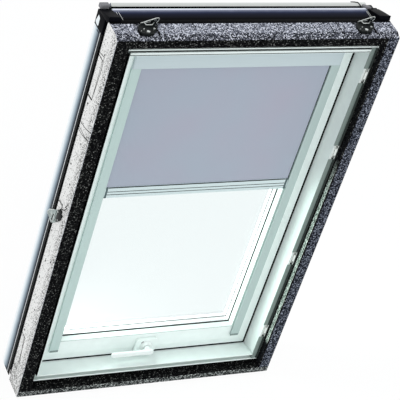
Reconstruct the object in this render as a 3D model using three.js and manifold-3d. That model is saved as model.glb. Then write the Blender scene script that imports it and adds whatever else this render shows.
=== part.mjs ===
// Roof window with its roller blind, upright, room side towards -Y.
// Millimetres, +X to the right seen from the room, +Y towards the weather side, +Z up.
// Sizes are set out from the middle of the collar's front face at its foot;
// the exported group is moved so that its origin is the middle of the base.

import * as THREE from 'three';
import Module from 'manifold-3d';
import { mergeVertices } from 'three/addons/utils/BufferGeometryUtils.js';

const wasm = await Module();
wasm.setup();

// Clearances
const fit = 0.3;                      // between pieces that touch
const runningGap = 0.4;               // round a shaft that turns
const mitreGap = 0.3;
const overrun = 5;                    // how far a cutting solid runs past the face

// Insulation collar, grey foam
const collarDepth = 72;
const collarSideWall = 38.2;
const collarSillWall = 24.8;
const collarHeadWall = 31.9;
const collarSideGap = 0.5;            // between collar and frame
const collarSillGap = 15.2;
const collarHeadGap = 16.8;
const collarBevelDepth = 18;          // sloping top edge at the front
const collarBevelHeight = 8.9;
const sideJointDrop = 330.7;          // from the top down to the lap joint in the left wall
const sideJointLap = 30;
const headJointFromBracket = 52;      // lap joint in the top wall, in from the bracket's recess
const headJointLap = 42;
const plugFront = 45;                 // knock-out plugs scored in the side walls
const plugHeight = 125;
const plugFromFoot = 68;
const plugFromTop = 100.7;
const plugScore = 1.6;

// Fixed frame, white PVC
const frameWidth = 740;               // over the part that sits in the collar
const frameHeight = 1180;
const frameFront = 19;                // the front edge lies this far behind the collar's front
const frameFace = 20.5;               // width of the front edge
const grooveInnerLip = 3;
const grooveOuterLip = 4;
const grooveDepth = 12;
const linerThickness = 2;
const revealBack = 78;                // depth of the edge that frames the sash
const revealSide = 24.5;              // that edge, in from the frame's outside
const revealSill = 15;
const revealHead = 14;
const rebateSide = 20.5;              // behind that edge, in from the frame's outside
const rebateSill = 12;
const rebateHead = 10;
const flangeSide = 23;                // behind the collar, out from the frame's outside
const flangeSill = 23;
const flangeHead = 30;

// Sash, white PVC
const sashGap = 1.9;                  // to the edge that frames it
const sashLand = 11;
const sashChamfer = 16;
const sashChamferDepth = 3.5;
const sashSideWidth = 71;             // from the sash's edge to the glass opening
const sashEndWidth = 85;
const beadWidth = 5;
const beadDepth = 13.5;
const beadEdge = 2;
const glassRebate = 15;
const sashFlangeThickness = 5.6;
const sashFlangeSide = 41;
const sealStart = 12;
const sealWidth = 8;
const sealDepth = 2.4;

// Glass unit
const glassPlay = 1.5;
const glassSheet = 4;
const glassGasket = 1.7;
const glassGasketShow = 2;
const spacerInset = 2.5;
const spacerWidth = 12;
const spacerDepth = 15.4;

// Weather side: gasket, aluminium covers, hood
const gasketThickness = 10;
const gasketHeadThickness = 7;
const gasketSillThickness = 5;
const gasketDepth = 16;
const coverGap = 0.5;                 // between gasket and covers
const coverSheet = 1.5;
const coverHem = 12;
const coverHemGap = 1.6;              // to the sash's covers
const coverWebLap = 7;                // web on the frame's back
const sashCoverDepth = 13.4;
const sashCoverLap = 2.5;             // over the glass
const sashCoverSkirt = 17;
const sashCoverRib = 20;
const coverRise = 25;                 // of the frame's covers over the sash's covers
const hoodShort = 5;                  // the hood is that much less deep
const hoodRise = 8;                   // over the frame's top
const hoodFall = 2;                   // towards the weather side
const hoodApron = 16;                 // how far the apron hangs below the frame's top
const capLength = 34.7;               // corner caps
const capWall = 2;
const capProud = 3.7;                 // outside the side covers
const capDrop = 35;                   // below the frame's top
const capRise = 14;                   // above the frame's top

// Roof brackets
const bracketFromEnd = 64.7;          // top brackets, in from the collar's side
const bracketLength = 56;
const bracketRecess = 6;
const bracketFront = 20;
const bracketPlateFront = 64;
const bracketSteel = 2.5;
const bracketBodyInset = 10;
const bracketLugStart = 22;
const bracketLugRise = 17;            // height of the lug over the collar
const bracketLugReach = 13;           // how far the lug leans past the recess
const bracketHole = 2.6;
const bracketHoleInset = 7;
const sideBracketLow = 600;
const sideBracketHeight = 73;
const sideBracketFront = 32;
const sideBracketBack = 106;
const sideBracketSlot = 24;
const sideBracketSlotWidth = 8;
const sideBracketSlotInset = 20;      // its middle, from the bracket's back edge

// Lining clips in the right groove
const clipHeight = 48;
const clipWall = 2;
const clipProud = 1;
const clipHeightShares = [0.1017, 0.3525, 0.6915, 0.917];

// Hinges at the head, pin along X
const hingeAxisBehind = 7.4;          // behind the sash's back
const hingeAxisDrop = 10;             // below the frame's top
const hingeFromSide = 120;            // in from the frame's outside
const hingeKnuckle = 5;
const hingePin = 2.4;
const hingeEar = 6;
const hingeWeb = 8;
const hingePlateLength = 60;
const hingePlateSheet = 2.7;
const hingePlateLow = 8;              // below the pin
const hingePlateHigh = 9;             // above the pin
const armHeight = 11.9;               // from the sash's top edge to the pin
const armFootLength = 54;
const armFootSheet = 2.6;
const armFootInset = 1;
const armWeb = 5;

// Handle and lock
const handleX = 0;
const handleRise = 36;                // from the sash's edge to the spindle
const roseWidth = 68;
const roseHeight = 56;
const roseDepth = 8;
const roseCorner = 8;
const neckRadius = 9;
const neckShort = 1.7;
const leverGap = 20;                  // finger room behind the lever
const leverThickness = 12;
const leverHeight = 19;
const leverReach = 120;
const leverTail = 13;
const leverCorner = 7;
const spindleSide = 8;
const spindlePlay = 0.6;
const gearboxCover = 14;              // behind the sash's face
const gearboxDepth = 16.5;
const gearboxHalf = 30;
const gearboxHeight = 46;
const rodTrack = 6.3;                 // depth of the channel for the rods
const rodTrackInset = 9.5;            // its middle, behind the gearbox's front
const rodWidth = 5;
const rodLane = 3.5;                  // from the channel's middle to a rod's middle
const rodEndGap = 8.6;
const rodOverlap = 20;
const rodCam = 3.5;
const rodCamClear = 0.7;              // over the striker
const rodCamFromSide = 120;           // in from the frame's outside
const strikerLength = 60;
const strikerSheet = 1.5;
const strikerDepth = 19;

// Blind: cassette, rails, bar and fabric
const fabricLap = 7.4;                // past the glass opening
const fabricInset = 2.2;              // in front of the blind's back
const fabricThickness = 0.5;
const railPlay = 1;                   // between the fabric's edge and the rail
const railWidth = 27.5;
const railDepth = 5.7;
const railWall = 1.2;
const railSlotDepth = 19;
const railFoot = 43;                  // rail's foot above the sash's edge
const cassetteInset = 3.5;            // in from the rails' outside
const cassetteCap = 2;
const cassetteDepth = 6.2;
const cassetteBulgeDepth = 26.2;
const cassetteWall = 1.3;
const cassetteOverlap = 2;            // above the glass opening
const cassetteTopGap = 1.5;           // under the frame's front edge
const cassetteShoulder = 35;          // from the top down to where the bulge starts
const cassetteShoulderRise = 14;
const cassetteShoulderLip = 4;
const cassetteShoulderStep = 2;
const rollerDrop = 12;                // from the cassette's top to the roller's middle
const rollRadius = 10;
const rollerRadius = 7;
const rollerBore = 5.6;
const rollerPast = 4;                 // past the fabric's edge
const rollerPlug = 3;
const rollerPinRadius = 3;
const rollerPinReach = 18;
const bossRadius = 6;
const bossGap = 6;
const springRadius = 5.2;
const springLength = 160;
const springGap = 1;
const barHeight = 37;
const barBottom = 685;                // height at which the photograph shows it
const barInset = 3.4;                 // in front of the blind's back
const barThickness = 3.3;
const barEndGap = 0.5;                // short of the fabric's edge
const barGroove = 0.6;
const barGrooveHeight = 2.4;
const barGrooveLow = 9.4;
const barGrooveHigh = 19.2;
const spineInset = 6.6;               // in from the glass opening
const spineDepth = 5.9;
const spineMargin = 5;
const gliderReach = 12;
const gliderRoot = 3;
const gliderMargin = 6;

// Heights and widths worked out from the sizes above
const frameHalf = frameWidth / 2;
const frameLow = collarSillWall + collarSillGap;
const frameTop = frameLow + frameHeight;
const collarInner = frameHalf + collarSideGap;
const collarHalf = collarInner + collarSideWall;
const collarOpeningTop = frameTop + collarHeadGap;
const collarTop = collarOpeningTop + collarHeadWall;
const flangeHalf = frameHalf + flangeSide;
const flangeTop = frameTop + flangeHead;
const sashHalf = frameHalf - revealSide - sashGap;
const sashLow = frameLow + revealSill + sashGap;
const sashTop = frameTop - revealHead - sashGap;
const openingHalf = sashHalf - sashSideWidth;
const openingTop = sashTop - sashEndWidth;
const hingeAxisZ = flangeTop - hingeAxisDrop;
const sashFlangeTop = hingeAxisZ - armHeight;
const sashFlangeHead = sashFlangeTop - sashTop;
const coverHalf = flangeHalf + gasketThickness + fit + fit + coverSheet;
const coverHemX = sashHalf + sashFlangeSide + fit + coverSheet + coverHemGap;
const coverHemZ = sashLow - sashFlangeSide - fit - coverSheet - coverHemGap;
const capLow = flangeTop - capDrop;
const capStart = coverHalf + capProud - capLength;
const hoodLow = flangeTop - hoodApron;
const handleZ = sashLow + handleRise;
const gearboxLow = sashLow + rodTrack + fit;
const rodLow = sashLow + rodTrack - fit - rodWidth;
const rodReach = sashHalf - rodEndGap;
const strikerSeat = frameLow + rebateSill + fit;
const fabricHalf = openingHalf + fabricLap;
const cassetteHalf = fabricHalf + railPlay + railWidth - cassetteInset;
const cassetteLow = openingTop + cassetteOverlap;
const cassetteTop = frameTop - frameFace - cassetteTopGap;
const shoulderZ = cassetteTop - cassetteShoulder;
const rollerHalf = fabricHalf + rollerPast;
const rollerZ = cassetteTop - rollerDrop;
const barTop = barBottom + barHeight;
const bracketOuter = collarHalf - bracketFromEnd;
const bracketInner = bracketOuter - bracketLength;
const headJointOuter = bracketInner - headJointFromBracket;
const headJointInner = headJointOuter - headJointLap;
const hingeSpread = frameHalf - hingeFromSide;
const rodCamSpread = frameHalf - rodCamFromSide;

// Depths worked out from the sizes above
const frameFlangeFront = collarDepth + fit;
const sashFront = revealBack;
const sashFace = sashFront - sashChamferDepth;
const rebateFace = sashFace + beadDepth + beadEdge;
const glassFront = rebateFace + fit + glassGasket + fit;
const spacerFront = glassFront + glassSheet + fit;
const spacerBack = spacerFront + spacerDepth;
const outerPane = spacerBack + fit;
const sashBack = outerPane + glassSheet + fit;
const sashFlangeFront = sashBack - sashFlangeThickness;
const frameBack = sashFlangeFront - fit - sealDepth - fit;
const sashCoverBack = sashBack + sashCoverDepth;
const hingeAxisY = sashBack + hingeAxisBehind;
const armFootFront = sashFlangeFront + armFootInset;
const armFootBack = sashCoverBack - coverSheet - armFootInset;
const gasketBack = frameFlangeFront + gasketDepth;
const coverFront = gasketBack + coverGap;
const coverBack = sashCoverBack + coverRise;
const hoodBack = coverBack - hoodShort;
const roseBack = sashFace - fit;
const roseFront = roseBack - roseDepth;
const neckBack = roseBack - neckShort;
const leverBack = roseFront - leverGap;
const leverFront = leverBack - leverThickness;
const gearboxFront = sashFace + gearboxCover;
const spindleBore = spindleSide * Math.SQRT1_2 + spindlePlay;
const rodTrackMiddle = gearboxFront + rodTrackInset;
const rodTrackHalf = rodLane + rodCam + fit;
const blindBack = sashFace - fit;
const railFront = blindBack - railDepth;
const cassetteFront = blindBack - cassetteDepth;
const cassetteBulge = blindBack - cassetteBulgeDepth;
const fabricFront = blindBack - fabricInset;
const rollerY = fabricFront - fit - rollRadius;
const barFront = blindBack - barInset;

// Materials
function material(color, roughness, metalness = 0) {
  return new THREE.MeshStandardMaterial({ color, roughness, metalness });
}

const pvc = material('#dfe8e4', 0.35);
const foam = material('#4a4a4c', 0.95);
const rubber = material('#17181a', 0.8);
const liner = material('#46504e', 0.7);
const clipPlastic = material('#d6dad2', 0.5);
const darkAluminium = material('#1f2338', 0.35, 0.7);
const greyAluminium = material('#80848c', 0.4, 0.8);
const steel = material('#3c3d40', 0.4, 0.8);
const paleSteel = material('#c9cbc6', 0.4, 0.6);
const railAluminium = material('#bcd2cb', 0.35, 0.4);
const cassetteAluminium = material('#c0ced5', 0.35, 0.4);
const barAluminium = material('#c4cbcd', 0.3, 0.6);
const cloth = material('#a7acbb', 0.9);
const handlePlastic = material('#e8eeea', 0.3);
const glass = new THREE.MeshStandardMaterial({
  color: '#f4fbfb', roughness: 0.05, metalness: 0, transparent: true, opacity: 0.35,
});

// Solids and booleans
function toSolid(geometry) {
  const bare = geometry.clone();
  bare.deleteAttribute('normal');
  bare.deleteAttribute('uv');
  const merged = mergeVertices(bare);
  return new wasm.Manifold(new wasm.Mesh({
    numProp: 3,
    vertProperties: new Float32Array(merged.attributes.position.array),
    triVerts: new Uint32Array(merged.index.array),
  }));
}

function toGeometry(solid) {
  const mesh = solid.getMesh();
  const geometry = new THREE.BufferGeometry();
  geometry.setAttribute('position', new THREE.BufferAttribute(mesh.vertProperties, mesh.numProp));
  geometry.setIndex(new THREE.BufferAttribute(mesh.triVerts, 1));
  geometry.computeVertexNormals();
  return geometry;
}

function joined(...geometries) {
  return toGeometry(geometries.map(toSolid).reduce((sum, next) => sum.add(next)));
}

function cut(geometry, ...tools) {
  return toGeometry(tools.map(toSolid).reduce((rest, tool) => rest.subtract(tool), toSolid(geometry)));
}

// A block between two corners
function block(x0, x1, y0, y1, z0, z1) {
  const geometry = new THREE.BoxGeometry(x1 - x0, y1 - y0, z1 - z0);
  return geometry.translate((x0 + x1) / 2, (y0 + y1) / 2, (z0 + z1) / 2);
}

function outline(points) {
  return new THREE.Shape(points.map(([u, v]) => new THREE.Vector2(u, v)));
}

function extruded(shape, depth, curveSegments = 8) {
  return new THREE.ExtrudeGeometry(shape, { depth, bevelEnabled: false, curveSegments });
}

// Prisms whose outline is given in the other two axes, in the order X, Y, Z
function prismAlongZ(shape, z0, z1) {
  return extruded(shape, z1 - z0).translate(0, 0, z0);
}

function prismAlongY(shape, y0, y1) {
  return extruded(shape, y1 - y0).rotateX(Math.PI / 2).translate(0, y1, 0);
}

function prismAlongX(shape, x0, x1) {
  const turn = new THREE.Matrix4().set(0, 0, 1, 0, 1, 0, 0, 0, 0, 1, 0, 0, 0, 0, 0, 1);
  return extruded(shape, x1 - x0).applyMatrix4(turn).translate(x0, 0, 0);
}

// A cylinder along X or Y between two stations
const roundSides = 24;

function cylinderAlongX(radius, x0, x1, y, z, sides = roundSides) {
  const geometry = new THREE.CylinderGeometry(radius, radius, x1 - x0, sides);
  return geometry.rotateZ(Math.PI / 2).translate((x0 + x1) / 2, y, z);
}

function cylinderAlongY(radius, x, y0, y1, z, sides = roundSides) {
  const geometry = new THREE.CylinderGeometry(radius, radius, y1 - y0, sides);
  return geometry.translate(x, (y0 + y1) / 2, z);
}

function cylinderAlongZ(radius, x, y, z0, z1, sides = roundSides) {
  const geometry = new THREE.CylinderGeometry(radius, radius, z1 - z0, sides);
  return geometry.rotateX(Math.PI / 2).translate(x, y, (z0 + z1) / 2);
}

// A shape turned round the X axis from a profile of [station along X, radius]
function turnedAlongX(profile, y, z) {
  const points = profile.map(([x, radius]) => new THREE.Vector2(radius, x));
  const geometry = new THREE.LatheGeometry(points, roundSides);
  return geometry.rotateZ(-Math.PI / 2).translate(0, y, z);
}

// Reverses the faces of a geometry that was built inside out
function facingOut(positions, faces) {
  const a = new THREE.Vector3();
  const b = new THREE.Vector3();
  const c = new THREE.Vector3();
  let volume = 0;
  for (const [i, j, k] of faces) {
    a.copy(positions[i]);
    b.copy(positions[j]);
    c.copy(positions[k]);
    volume += a.dot(b.cross(c));
  }
  const ordered = volume < 0 ? faces.map(([i, j, k]) => [i, k, j]) : faces;
  const geometry = new THREE.BufferGeometry().setFromPoints(positions);
  geometry.setIndex(ordered.flat());
  geometry.computeVertexNormals();
  return geometry;
}

// Joins two rings of points that have the same profile
function lofted(ringA, ringB, capFaces) {
  const count = ringA.length;
  const faces = [];
  for (let i = 0; i < count; i += 1) {
    const next = (i + 1) % count;
    faces.push([i, next, count + next]);
    faces.push([i, count + next, count + i]);
  }
  for (const [i, j, k] of capFaces) {
    faces.push([i, k, j]);
    faces.push([count + i, count + j, count + k]);
  }
  return facingOut([...ringA, ...ringB], faces);
}

// Profile rows of a rectangular surround. Each row holds how far the point lies
// inside the surround's reference rectangle at the sides, foot and head, and its depth.
function surroundRows(half, low, top, rows) {
  return rows.map(([side, sill, head, y]) => ({ x: half - side, low: low + sill, top: top - head, y }));
}

// Four mitred bars from such rows
function mitredBars(rows) {
  const flat = rows.map((row) => new THREE.Vector2(row.x, row.y));
  const clockwise = THREE.ShapeUtils.isClockWise(flat);
  const capFaces = THREE.ShapeUtils.triangulateShape(flat, []).map(([i, j, k]) => (
    THREE.ShapeUtils.isClockWise([flat[i], flat[j], flat[k]]) === clockwise ? [i, j, k] : [i, k, j]
  ));
  const half = mitreGap / 2;
  const upright = (sign) => lofted(
    rows.map((row) => new THREE.Vector3(sign * row.x, row.y, row.low + half)),
    rows.map((row) => new THREE.Vector3(sign * row.x, row.y, row.top - half)),
    capFaces,
  );
  const level = (key) => lofted(
    rows.map((row) => new THREE.Vector3(-row.x + half, row.y, row[key])),
    rows.map((row) => new THREE.Vector3(row.x - half, row.y, row[key])),
    capFaces,
  );
  return { left: upright(-1), right: upright(1), sill: level('low'), head: level('top') };
}

// One closed ring from such rows
function ringOf(rows) {
  const count = rows.length;
  const corners = [[-1, 'low'], [1, 'low'], [1, 'top'], [-1, 'top']];
  const positions = corners.flatMap(([sign, key]) => (
    rows.map((row) => new THREE.Vector3(sign * row.x, row.y, row[key]))
  ));
  const faces = [];
  corners.forEach((_, corner) => {
    const start = corner * count;
    const following = ((corner + 1) % corners.length) * count;
    for (let i = 0; i < count; i += 1) {
      const next = (i + 1) % count;
      faces.push([start + i, start + next, following + next]);
      faces.push([start + i, following + next, following + i]);
    }
  });
  return facingOut(positions, faces);
}

function part(name, geometry, look) {
  const mesh = new THREE.Mesh(geometry, look);
  mesh.name = name;
  return mesh;
}

function mirroredX(geometry) {
  const copy = geometry.index ? geometry.toNonIndexed() : geometry.clone();
  copy.deleteAttribute('uv');
  copy.scale(-1, 1, 1);
  const position = copy.attributes.position;
  const corner = new THREE.Vector3();
  const swap = new THREE.Vector3();
  for (let i = 0; i < position.count; i += 3) {
    corner.fromBufferAttribute(position, i + 1);
    swap.fromBufferAttribute(position, i + 2);
    position.setXYZ(i + 1, swap.x, swap.y, swap.z);
    position.setXYZ(i + 2, corner.x, corner.y, corner.z);
  }
  copy.computeVertexNormals();
  return copy;
}

// Insulation collar: four corner pieces with lap joints in the walls
function collarPieces() {
  const lapX = (collarInner + collarHalf) / 2;
  const lapTop = (collarOpeningTop + collarTop) / 2;
  const lapLow = collarSillWall / 2;
  const sideJointOuter = collarTop - sideJointDrop;
  const sideJointInner = sideJointOuter + sideJointLap;
  const turnedOuter = sideJointDrop;
  const turnedInner = sideJointDrop - sideJointLap;
  return {
    top_left: [
      [-collarHalf, sideJointOuter], [-lapX, sideJointOuter], [-lapX, sideJointInner],
      [-collarInner, sideJointInner], [-collarInner, collarOpeningTop],
      [headJointInner, collarOpeningTop], [headJointInner, lapTop], [headJointOuter, lapTop],
      [headJointOuter, collarTop], [-collarHalf, collarTop],
    ],
    top_right: [
      [collarHalf, collarTop], [headJointOuter + fit, collarTop], [headJointOuter + fit, lapTop - fit],
      [headJointInner + fit, lapTop - fit], [headJointInner + fit, collarOpeningTop],
      [collarInner, collarOpeningTop], [collarInner, turnedInner + fit], [lapX - fit, turnedInner + fit],
      [lapX - fit, turnedOuter + fit], [collarHalf, turnedOuter + fit],
    ],
    bottom_right: [
      [collarHalf, turnedOuter], [lapX, turnedOuter], [lapX, turnedInner], [collarInner, turnedInner],
      [collarInner, collarSillWall], [-headJointInner, collarSillWall], [-headJointInner, lapLow],
      [-headJointOuter, lapLow], [-headJointOuter, 0], [collarHalf, 0],
    ],
    bottom_left: [
      [-collarHalf, 0], [-headJointOuter - fit, 0], [-headJointOuter - fit, lapLow + fit],
      [-headJointInner - fit, lapLow + fit], [-headJointInner - fit, collarSillWall],
      [-collarInner, collarSillWall], [-collarInner, sideJointInner - fit],
      [-lapX + fit, sideJointInner - fit], [-lapX + fit, sideJointOuter - fit],
      [-collarHalf, sideJointOuter - fit],
    ],
  };
}

// Slope cut off the collar's top front edge
function collarBevel() {
  const low = collarTop - collarBevelHeight;
  const slope = collarBevelHeight / collarBevelDepth;
  return prismAlongX(outline([
    [-overrun, low - slope * overrun], [collarBevelDepth, collarTop],
    [collarBevelDepth, collarTop + overrun], [-overrun, collarTop + overrun],
  ]), -collarHalf - overrun, collarHalf + overrun);
}

// Score lines round a knock-out plug in a side wall
function plugScores(sign, low) {
  const face = sign * collarHalf;
  const x0 = Math.min(face - sign * plugScore, face + sign * overrun);
  const x1 = Math.max(face - sign * plugScore, face + sign * overrun);
  const high = low + plugHeight;
  return [
    block(x0, x1, plugFront, plugFront + plugScore, low, high),
    block(x0, x1, plugFront, collarDepth + overrun, low, low + plugScore),
    block(x0, x1, plugFront, collarDepth + overrun, high - plugScore, high),
  ];
}

// Recess for a top bracket
function bracketRecessTool(sign) {
  const x0 = Math.min(sign * bracketInner, sign * bracketOuter);
  const x1 = Math.max(sign * bracketInner, sign * bracketOuter);
  return block(x0, x1, -overrun, collarDepth + overrun, collarTop - bracketRecess, collarTop + overrun);
}

function insulation() {
  const group = new THREE.Group();
  const plugHigh = collarTop - plugFromTop - plugHeight;
  const tools = {
    top_left: [collarBevel(), ...plugScores(-1, plugHigh), bracketRecessTool(-1)],
    top_right: [collarBevel(), ...plugScores(1, plugHigh), bracketRecessTool(1)],
    bottom_right: plugScores(1, plugFromFoot),
    bottom_left: plugScores(-1, plugFromFoot),
  };
  for (const [place, points] of Object.entries(collarPieces())) {
    const body = prismAlongY(outline(points), 0, collarDepth);
    group.add(part(`insulation_${place}`, cut(body, ...tools[place]), foam));
  }
  return group;
}

// Fixed frame: mitred bars with a groove for the lining in the front edge
function fixedFrame() {
  const group = new THREE.Group();
  const grooveInner = frameFace - grooveInnerLip;
  const grooveFloor = frameFront + grooveDepth;
  const bars = mitredBars(surroundRows(frameHalf, frameLow, frameTop, [
    [frameFace, frameFace, frameFace, frameFront],
    [grooveInner, grooveInner, grooveInner, frameFront],
    [grooveInner, grooveInner, grooveInner, grooveFloor],
    [grooveOuterLip, grooveOuterLip, grooveOuterLip, grooveFloor],
    [grooveOuterLip, grooveOuterLip, grooveOuterLip, frameFront],
    [0, 0, 0, frameFront],
    [0, 0, 0, frameFlangeFront],
    [-flangeSide, -flangeSill, -flangeHead, frameFlangeFront],
    [-flangeSide, -flangeSill, -flangeHead, frameBack],
    [rebateSide, rebateSill, rebateHead, frameBack],
    [rebateSide, rebateSill, rebateHead, revealBack],
    [revealSide, revealSill, revealHead, revealBack],
  ]));
  group.add(part('frame_head', bars.head, pvc));
  group.add(part('frame_sill', bars.sill, pvc));
  group.add(part('frame_jamb_left', bars.left, pvc));
  group.add(part('frame_jamb_right', bars.right, pvc));
  group.add(part('groove_liner', grooveLiner(), liner));
  clipHeightShares.forEach((share, index) => {
    const clip = part(`lining_clip_${index + 1}`, liningClip(), clipPlastic);
    const height = frameLow + share * frameHeight;
    clip.position.set(frameHalf - grooveOuterLip - fit, frameFront - clipProud, height);
    group.add(clip);
  });
  return group;
}

// Dark strip on the floor of the lining groove
function grooveLiner() {
  const outer = grooveOuterLip + fit;
  const inner = frameFace - grooveInnerLip - fit;
  const back = frameFront + grooveDepth - fit;
  return ringOf(surroundRows(frameHalf, frameLow, frameTop, [
    [outer, outer, outer, back],
    [inner, inner, inner, back],
    [inner, inner, inner, back - linerThickness],
    [outer, outer, outer, back - linerThickness],
  ]));
}

// Spring clip: a channel with a barb, its outer front edge at the origin
function liningClip() {
  const width = frameFace - grooveInnerLip - grooveOuterLip - 2 * fit;
  const depth = clipProud + grooveDepth - linerThickness - 2 * fit;
  const half = clipHeight / 2;
  const channel = prismAlongZ(outline([
    [0, 0], [0, depth], [-width, depth], [-width, 0], [-width + clipWall, 0],
    [-width + clipWall, depth - clipWall], [-clipWall, depth - clipWall], [-clipWall, 0],
  ]), -half, half);
  const barb = prismAlongZ(outline([
    [-clipWall, 0], [-clipWall, depth - clipWall],
    [-width / 2, depth - clipWall], [-width / 2, clipWall],
  ]), -half / 2, half / 2);
  return joined(channel, barb);
}

// Rubber band round the frame behind the collar
function perimeterGasket() {
  const back = gasketBack;
  const front = frameFlangeFront + fit;
  return ringOf(surroundRows(flangeHalf, frameLow - flangeSill, flangeTop, [
    [-fit, -fit, -fit, front],
    [-gasketThickness, -gasketSillThickness, -gasketHeadThickness, front],
    [-gasketThickness, -gasketSillThickness, -gasketHeadThickness, back],
    [-fit, -fit, -fit, back],
  ]));
}

// Outline of an aluminium cover: wall, face, hem, and the web that rests on the frame's back.
// Its points are [distance in from the wall's outer face, depth].
function coverOutline(hemReach, webReach) {
  const web = frameBack + fit;
  return [
    [0, coverFront], [0, coverBack], [hemReach, coverBack], [hemReach, coverBack - coverHem],
    [hemReach - coverSheet, coverBack - coverHem], [hemReach - coverSheet, coverBack - coverSheet],
    [coverSheet, coverBack - coverSheet], [coverSheet, web + coverSheet], [webReach, web + coverSheet],
    [webReach, web], [coverSheet, web], [coverSheet, coverFront],
  ];
}

function weatherCovers() {
  const group = new THREE.Group();
  const sideOutline = coverOutline(coverHalf - coverHemX, coverHalf - flangeHalf + coverWebLap);
  const right = prismAlongZ(outline(sideOutline.map(([u, y]) => [coverHalf - u, y])), 0, capLow - fit);
  group.add(part('cover_right', right, greyAluminium));
  group.add(part('cover_left', mirroredX(right), greyAluminium));
  const sillOutline = coverOutline(coverHemZ, frameLow - flangeSill + coverWebLap);
  const sillHalf = Math.min(coverHemX, flangeHalf - coverWebLap) - fit;
  const sill = prismAlongX(outline(sillOutline.map(([u, y]) => [y, u])), -sillHalf, sillHalf);
  group.add(part('cover_sill', sill, greyAluminium));
  return group;
}

// Folded hood over the head, resting on the frame's top with its front lip
function hood() {
  const seat = flangeTop + fit;
  const crest = flangeTop + hoodRise;
  const eaves = crest - hoodFall;
  return prismAlongX(outline([
    [coverFront, seat], [coverFront, crest], [hoodBack, eaves], [hoodBack, hoodLow],
    [hoodBack - coverSheet, hoodLow], [hoodBack - coverSheet, eaves - coverSheet],
    [coverFront + coverSheet, crest - coverSheet], [coverFront + coverSheet, seat],
  ]), -capStart + fit, capStart - fit);
}

// Shell that closes the right end of the hood, open downwards and inwards
function hoodCap() {
  const outer = coverHalf + capProud;
  const top = flangeTop + capRise;
  const below = capLow - overrun;
  const inward = capStart - overrun;
  const shell = block(capStart, outer, coverFront, coverBack, capLow, top);
  const inside = block(
    inward, outer - capWall, coverFront + capWall, coverBack - capWall, below, top - capWall,
  );
  const frameRoom = block(
    inward, flangeHalf + fit, coverFront - overrun, frameBack, below, flangeTop + fit,
  );
  const sashRoom = block(inward, coverHemX, frameBack, coverBack + overrun, below, hoodLow);
  return cut(shell, inside, frameRoom, sashRoom);
}

function hoodPieces() {
  const group = new THREE.Group();
  const cap = hoodCap();
  group.add(part('hood', hood(), darkAluminium));
  group.add(part('hood_cap_right', cap, darkAluminium));
  group.add(part('hood_cap_left', mirroredX(cap), darkAluminium));
  return group;
}

// Right top bracket: base in the collar's recess, body, and a lug with a hole
function topBracket() {
  const floor = collarTop - bracketRecess + fit;
  const x0 = bracketInner + fit;
  const x1 = bracketOuter - fit;
  const lugTop = collarTop + bracketLugRise;
  const lugEnd = bracketInner - bracketLugReach;
  const plateBack = bracketPlateFront + bracketSteel;
  const base = block(x0, x1, bracketFront, plateBack, floor, floor + bracketSteel);
  const body = block(
    x0 + bracketSteel, x1 - bracketBodyInset,
    bracketFront + bracketSteel, bracketPlateFront - bracketBodyInset,
    floor, collarTop + bracketSteel,
  );
  const lug = outline([
    [x1, floor], [x1, collarTop - bracketSteel], [x1 - bracketLugStart, collarTop + fit],
    [lugEnd + bracketSteel, lugTop], [lugEnd, lugTop - bracketSteel], [lugEnd, collarTop + fit],
    [x0, collarTop + fit], [x0, floor],
  ]);
  const holeX = lugEnd + bracketHoleInset;
  const holeZ = lugTop - bracketHoleInset;
  const hole = cylinderAlongY(
    bracketHole, holeX, bracketPlateFront - overrun, plateBack + overrun, holeZ,
  );
  const plate = prismAlongY(lug, bracketPlateFront, plateBack);
  return cut(joined(base, body, plate), hole);
}

// Right side bracket: a plate across collar and cover, with a slot
function sideBracket() {
  const x0 = collarHalf + fit;
  const x1 = x0 + bracketSteel;
  const middleY = sideBracketBack - sideBracketSlotInset;
  const top = sideBracketLow + sideBracketHeight;
  const middleZ = (sideBracketLow + top) / 2;
  const plate = block(x0, x1, sideBracketFront, sideBracketBack, sideBracketLow, top);
  const slot = block(
    x0 - overrun, x1 + overrun,
    middleY - sideBracketSlotWidth / 2, middleY + sideBracketSlotWidth / 2,
    middleZ - sideBracketSlot / 2, middleZ + sideBracketSlot / 2,
  );
  return cut(plate, slot);
}

function roofBrackets() {
  const group = new THREE.Group();
  const top = topBracket();
  const side = sideBracket();
  group.add(part('bracket_top_right', top, steel));
  group.add(part('bracket_top_left', mirroredX(top), steel));
  group.add(part('bracket_side_right', side, paleSteel));
  group.add(part('bracket_side_left', mirroredX(side), paleSteel));
  return group;
}

// Fixed half of a hinge: plate on the frame's back, two ears and the pin
function hingePlate() {
  const back = frameBack + fit;
  const half = hingePlateLength / 2;
  const plate = block(
    -half, half, back, back + hingePlateSheet, hingeAxisZ - hingePlateLow, hingeAxisZ + hingePlateHigh,
  );
  const inner = hingeEar / 2 + fit;
  const outer = inner + hingeEar;
  const ears = [[-outer, -inner], [inner, outer]].flatMap(([x0, x1]) => [
    block(x0, x1, back, hingeAxisY, hingeAxisZ - hingeWeb / 2, hingeAxisZ + hingeWeb / 2),
    cylinderAlongX(hingeKnuckle, x0, x1, hingeAxisY, hingeAxisZ),
  ]);
  const pin = cylinderAlongX(hingePin, -outer, outer, hingeAxisY, hingeAxisZ);
  return joined(plate, ...ears, pin);
}

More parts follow.
